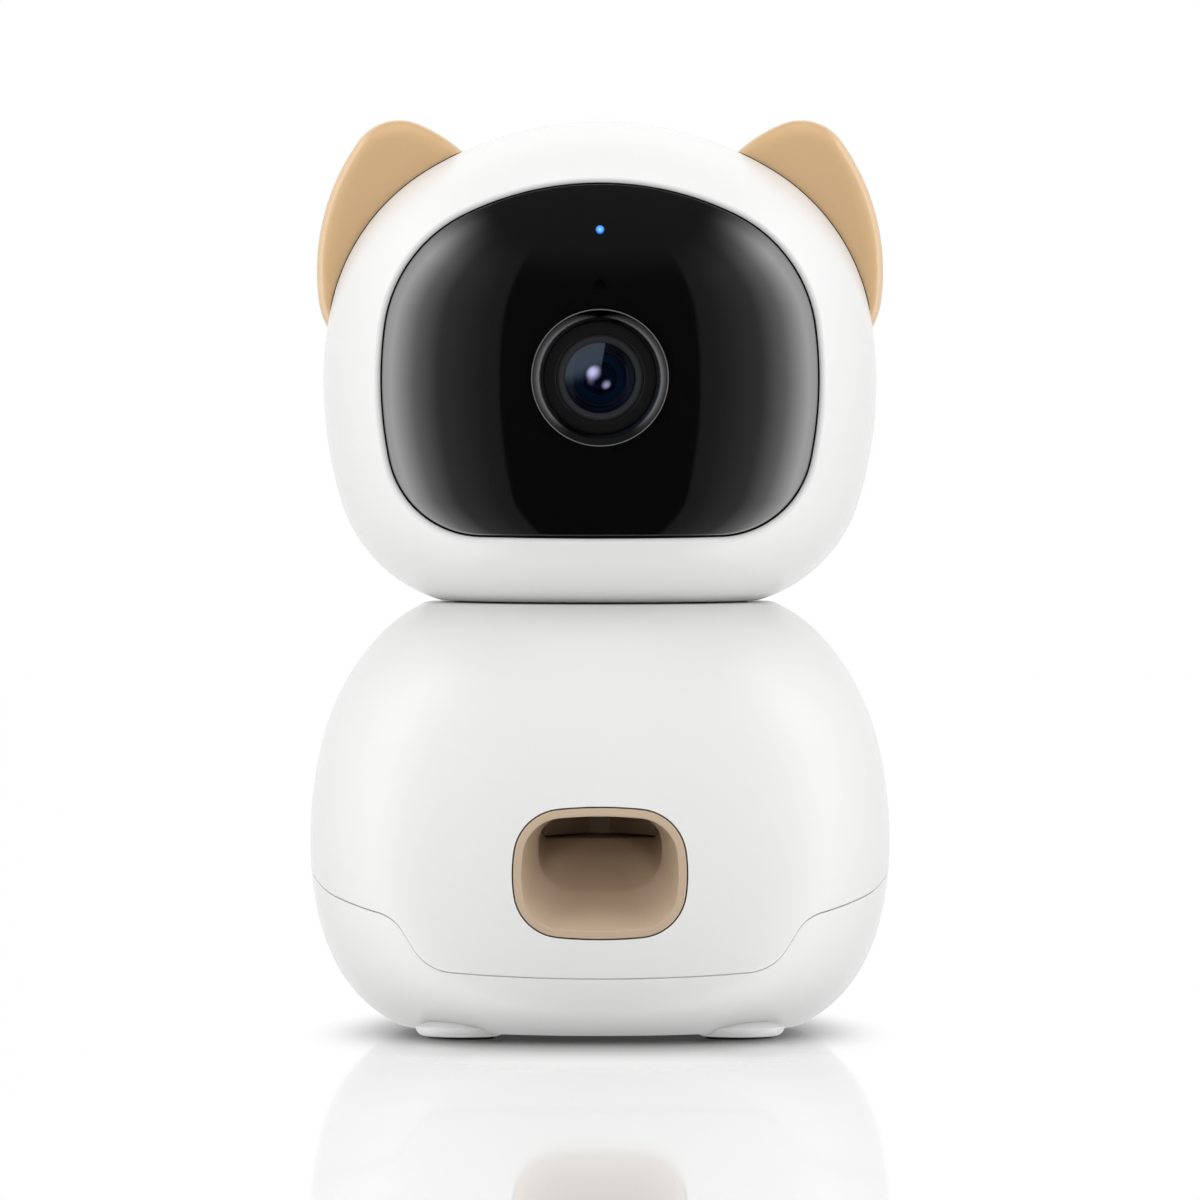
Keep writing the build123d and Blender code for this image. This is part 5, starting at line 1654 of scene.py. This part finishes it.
@dataclass
class FootPads:
    """Rubber pads under the foot bosses."""

    finish: Finishes
    centre: float = FOOT_CENTRE
    outline: list[Point] = field(default_factory=lambda: [
        (0.0, 0.0), (6.2, 0.0), (6.4, 0.2), (6.6, 0.0), (7.1, 0.0), (7.4, 0.3), (7.4, 1.6), (0.0, 1.6)])

    def build(self) -> bpy.types.Object:
        """Build the four pads as one piece.

        Returns:
            The object.
        """
        pads = [spun(self.outline, (x, y), 72, upright=True)
                for x in (-self.centre, self.centre) for y in (-self.centre, self.centre)]
        piece = as_object(merged(pads), "foot_pad_set", self.finish.black_rubber)
        return seat(piece, Body.BASE, "rubber_dark", "foot_pads")


@dataclass
class InnerParts:
    """Finishes of the carried-over pieces that show only through the openings."""

    finish: Finishes
    groups: dict[str, list[str]] = field(default_factory=lambda: {
        "tan": ["treat_rotor", "rotor_deck", "hopper_bin"],
        "grey": ["hopper_roof", "head_floor", "speaker", "neck_bearing"],
        "cream": ["rotor_gear", "rotor_pinion", "tilt_sector", "tilt_pinion", "pan_hub"],
        "steel": ["ballast_plate", "deck_screws", "shell_screws", "head_screws", "rotor_motor_shaft",
                  "tilt_motor_shaft", "pan_shaft", "trunnion_pins", "rotor_motor", "pan_motor", "tilt_motor",
                  "rotor_motor_bracket", "tilt_plate"],
        "green": ["base_board", "inlet_board", "head_board", "front_board", "image_sensor_board"],
        "black_satin": ["base_board_chips", "head_board_chips", "pairing_switch", "lens_frame", "iris_ring"],
        "black_rubber": ["speaker_gasket", "microphone"],
    })

    def dress(self) -> None:
        """Give every listed node its finish."""
        for name, nodes in self.groups.items():
            material = getattr(self.finish, name)
            for node in nodes:
                piece = bpy.data.objects.get(node)
                if piece is None:
                    LOG.warning("no node %s", node)
                    continue
                for slot in piece.material_slots:
                    slot.material = material
                if not piece.material_slots:
                    piece.data.materials.append(material)


# Studio

@dataclass
class Studio:
    """Floor, lamps, world and camera.

    The panels are the brightness around the studio, by degrees from straight in front.
    """

    floor_size: float = 6.0
    floor_z: float = -0.00005
    camera_distance: float = 2.1
    camera_height: float = 0.134
    aim_height: float = 0.096
    frame_width: float = 0.2693
    plain_light: float = 0.55
    brightest: float = 3.0
    ceiling: float = 0.06
    ceiling_from: float = 0.58
    ceiling_full: float = 0.88
    shadow_reach: Point = (0.07, 0.14)
    shadow_ahead: float = 0.022
    shadow_narrow: float = 2.1
    # Painted contact shadow: near the camera the floor's colour is its ambient occlusion within this reach, raised to
    # this power.
    painted_floor_shade_reach: float = 0.06
    painted_floor_shade_power: float = 2.5
    mirror_near: float = 0.15
    mirror_far: float = 0.61
    mirror_reach: Point = (0.06, 0.1)
    mirror_roughness: float = 0.05
    floor_ior: float = 1.45
    panels: list[Point] = field(default_factory=lambda: [
        (0.0, 0.0), (42.0, 0.0), (43.5, 0.1), (50.0, 0.11), (72.0, 0.3), (85.0, 1.05), (94.0, 2.3),
        (99.0, 3.0), (112.0, 1.6), (140.0, 0.9), (180.0, 1.0)])

    def build(self) -> None:
        """Set up the whole studio."""
        self._floor()
        self._world()
        self._lamps()
        self._camera()

    def _floor(self) -> None:
        """Pale, slightly glossy floor that keeps the shadow."""
        mesh = bmesh.new()
        bmesh.ops.create_grid(mesh, x_segments=1, y_segments=1, size=self.floor_size / 2)
        bmesh.ops.translate(mesh, vec=(0, 0, self.floor_z), verts=mesh.verts)
        data = bpy.data.meshes.new("studio_floor")
        mesh.to_mesh(data)
        mesh.free()
        floor = bpy.data.objects.new("studio_floor", data)
        bpy.context.scene.collection.objects.link(floor)
        data.materials.append(self._floor_finish())

    def _surround(self, nodes: Nodes, direction: Socket) -> Socket:
        """Brightness of the studio in a direction, as a share of its brightest panel.

        It is dark in front, has lit panels at both sides, white behind and a dim ceiling.

        Args:
            nodes: Tree to add to.
            direction: Direction looked in.

        Returns:
            The brightness.
        """
        axes = nodes.add("SeparateXYZ", {0: direction}).node.outputs
        aside = nodes.math("ABSOLUTE", axes["X"])
        ahead = nodes.math("MULTIPLY", axes["Y"], -1.0)
        turn = nodes.span(nodes.math("ARCTAN2", aside, ahead), 0.0, math.pi)
        panels = nodes.ramp(turn, [(degrees / 180.0, 3 * (level / self.brightest,)) for degrees, level in self.panels])
        up = nodes.span(axes["Z"], self.ceiling_from, self.ceiling_full, ease="SMOOTHSTEP")
        return nodes.add("Mix", {"Factor": up, "A": panels, "B": self.ceiling / self.brightest}, "Result")

    def _floor_finish(self) -> bpy.types.Material:
        """White floor with a soft mirror image; under the camera it catches the lamps' real shadows, and its colour
        there is darkened by ambient occlusion as a painted contact shadow.

        Returns:
            The material.
        """
        material, nodes = new_material("floor_white", cleared=True)
        path = nodes.add("LightPath", {}).node.outputs
        place = nodes.place()
        placed = nodes.add("Mapping", {"Vector": place, "Location": (0.0, self.shadow_ahead, 0.0),
                                       "Scale": (self.shadow_narrow, 1.0, 1.0)}, "Vector")
        near = nodes.span(nodes.length("LENGTH", placed), *self.shadow_reach, (1.0, 0.0), "SMOOTHSTEP")
        # Painted contact shadow: ambient occlusion darkens the floor's own colour near the camera, on top of the real
        # shadows.
        painted_floor_occlusion = nodes.add("AmbientOcclusion", {"Distance": self.painted_floor_shade_reach}, "AO")
        shadow = nodes.add("BsdfDiffuse", {"Color": nodes.math("POWER", painted_floor_occlusion, self.painted_floor_shade_power)})
        white = nodes.add("Emission", {"Color": WHITE})
        mirror = nodes.add("BsdfGlossy", {"Color": WHITE, "Roughness": self.mirror_roughness})
        sheen = nodes.span(nodes.length("LENGTH", place), *self.mirror_reach, (self.mirror_near, self.mirror_far),
                           "SMOOTHSTEP")
        image = nodes.math("MULTIPLY", sheen, nodes.add("Fresnel", {"IOR": self.floor_ior}))
        shown = nodes.blend(image, nodes.blend(near, white, shadow), mirror)
        looking = nodes.add("VectorMath", {0: nodes.add("NewGeometry", {}, "Incoming"), "Scale": -1.0}, "Vector",
                            operation="SCALE")
        room = nodes.add("Emission", {"Color": self._surround(nodes, looking), "Strength": self.brightest})
        cloth = nodes.add("BsdfDiffuse", {"Color": (0.8, 0.8, 0.8, 1.0)})
        lit = nodes.blend(path["Is Glossy Ray"], cloth, room)
        lit = nodes.blend(path["Is Transmission Ray"], lit, white)
        nodes.close("Material", nodes.blend(path["Is Camera Ray"], lit, shown))
        return material

    def _world(self) -> None:
        """White where the camera looks past the object, the studio in gloss, plain light elsewhere."""
        world = bpy.data.worlds.new("studio_world")
        bpy.context.scene.world = world
        world.use_nodes = True
        nodes = Nodes(world.node_tree, cleared=True)
        path = nodes.add("LightPath", {}).node.outputs
        surround = self._surround(nodes, nodes.add("TexCoord", {}, "Generated"))
        plain = nodes.add("Background", {"Color": WHITE, "Strength": self.plain_light})
        room = nodes.add("Background", {"Color": surround, "Strength": self.brightest})
        white = nodes.add("Background", {"Color": WHITE})
        light = nodes.blend(path["Is Glossy Ray"], plain, room)
        light = nodes.blend(path["Is Transmission Ray"], light, white)
        nodes.close("World", nodes.blend(path["Is Camera Ray"], light, white))

    def _lamp(self, name: str, place: Triple, aim: Triple, size: Point, power: float) -> None:
        """Add one softbox.

        Args:
            name: Lamp name.
            place: Its middle in metres.
            aim: Point that it faces.
            size: Width and height.
            power: Watts.
        """
        light = bpy.data.lights.new(name, "AREA")
        light.shape = "RECTANGLE"
        light.size, light.size_y = size
        light.energy = power
        lamp = bpy.data.objects.new(name, light)
        lamp.visible_glossy = False
        lamp.location = place
        lamp.rotation_euler = (Vector(aim) - Vector(place)).to_track_quat("-Z", "Y").to_euler()
        bpy.context.scene.collection.objects.link(lamp)

    def _lamps(self) -> None:
        """Two side softboxes, one overhead and a front fill."""
        self._lamp("softbox_left", (-1.15, -0.35, 0.55), (0, 0, 0.11), (0.7, 1.4), 5.5)
        self._lamp("softbox_right", (1.15, -0.35, 0.55), (0, 0, 0.11), (0.7, 1.4), 5.5)
        self._lamp("softbox_top", (0.0, -0.1, 1.5), (0, 0, 0.1), (1.4, 1.0), 9.5)
        self._lamp("softbox_front", (0.0, -1.9, 0.35), (0, 0, 0.1), (1.2, 0.8), 5.0)

    def _camera(self) -> None:
        """Camera in front, a little above the middle, at long focal length."""
        data = bpy.data.cameras.new("studio_camera")
        distance = math.hypot(self.camera_distance, self.camera_height - self.aim_height)
        data.sensor_width = 36.0
        data.lens = data.sensor_width * distance / self.frame_width
        data.clip_end = 50.0
        camera = bpy.data.objects.new("studio_camera", data)
        camera.location = (0.0, -self.camera_distance, self.camera_height)
        look = Vector((0.0, 0.0, self.aim_height)) - camera.location
        camera.rotation_euler = look.to_track_quat("-Z", "Y").to_euler()
        bpy.context.scene.collection.objects.link(camera)
        bpy.context.scene.camera = camera
        bpy.context.scene.view_settings.view_transform = "Standard"


def main() -> None:
    """Build the studio and every piece of the camera."""
    logging.basicConfig(level=logging.INFO, format="%(name)s: %(message)s")
    Studio().build()
    finish = Finishes()
    head_skin, base_skin = HeadSkin(), BaseSkin()
    builders = [
        HeadShells(head_skin, finish), Visor(head_skin, finish), LensUnit(finish), Ears(head_skin, finish),
        BaseShells(base_skin, finish), Chute(base_skin, finish), RearFittings(base_skin, finish),
        FootPads(finish),
    ]
    for builder in builders:
        made = builder.build()
        for piece in made if isinstance(made, list) else [made]:
            LOG.info("%s: %d faces", piece.name, len(piece.data.polygons))
    InnerParts(finish).dress()


if __name__ == "__main__":
    main()
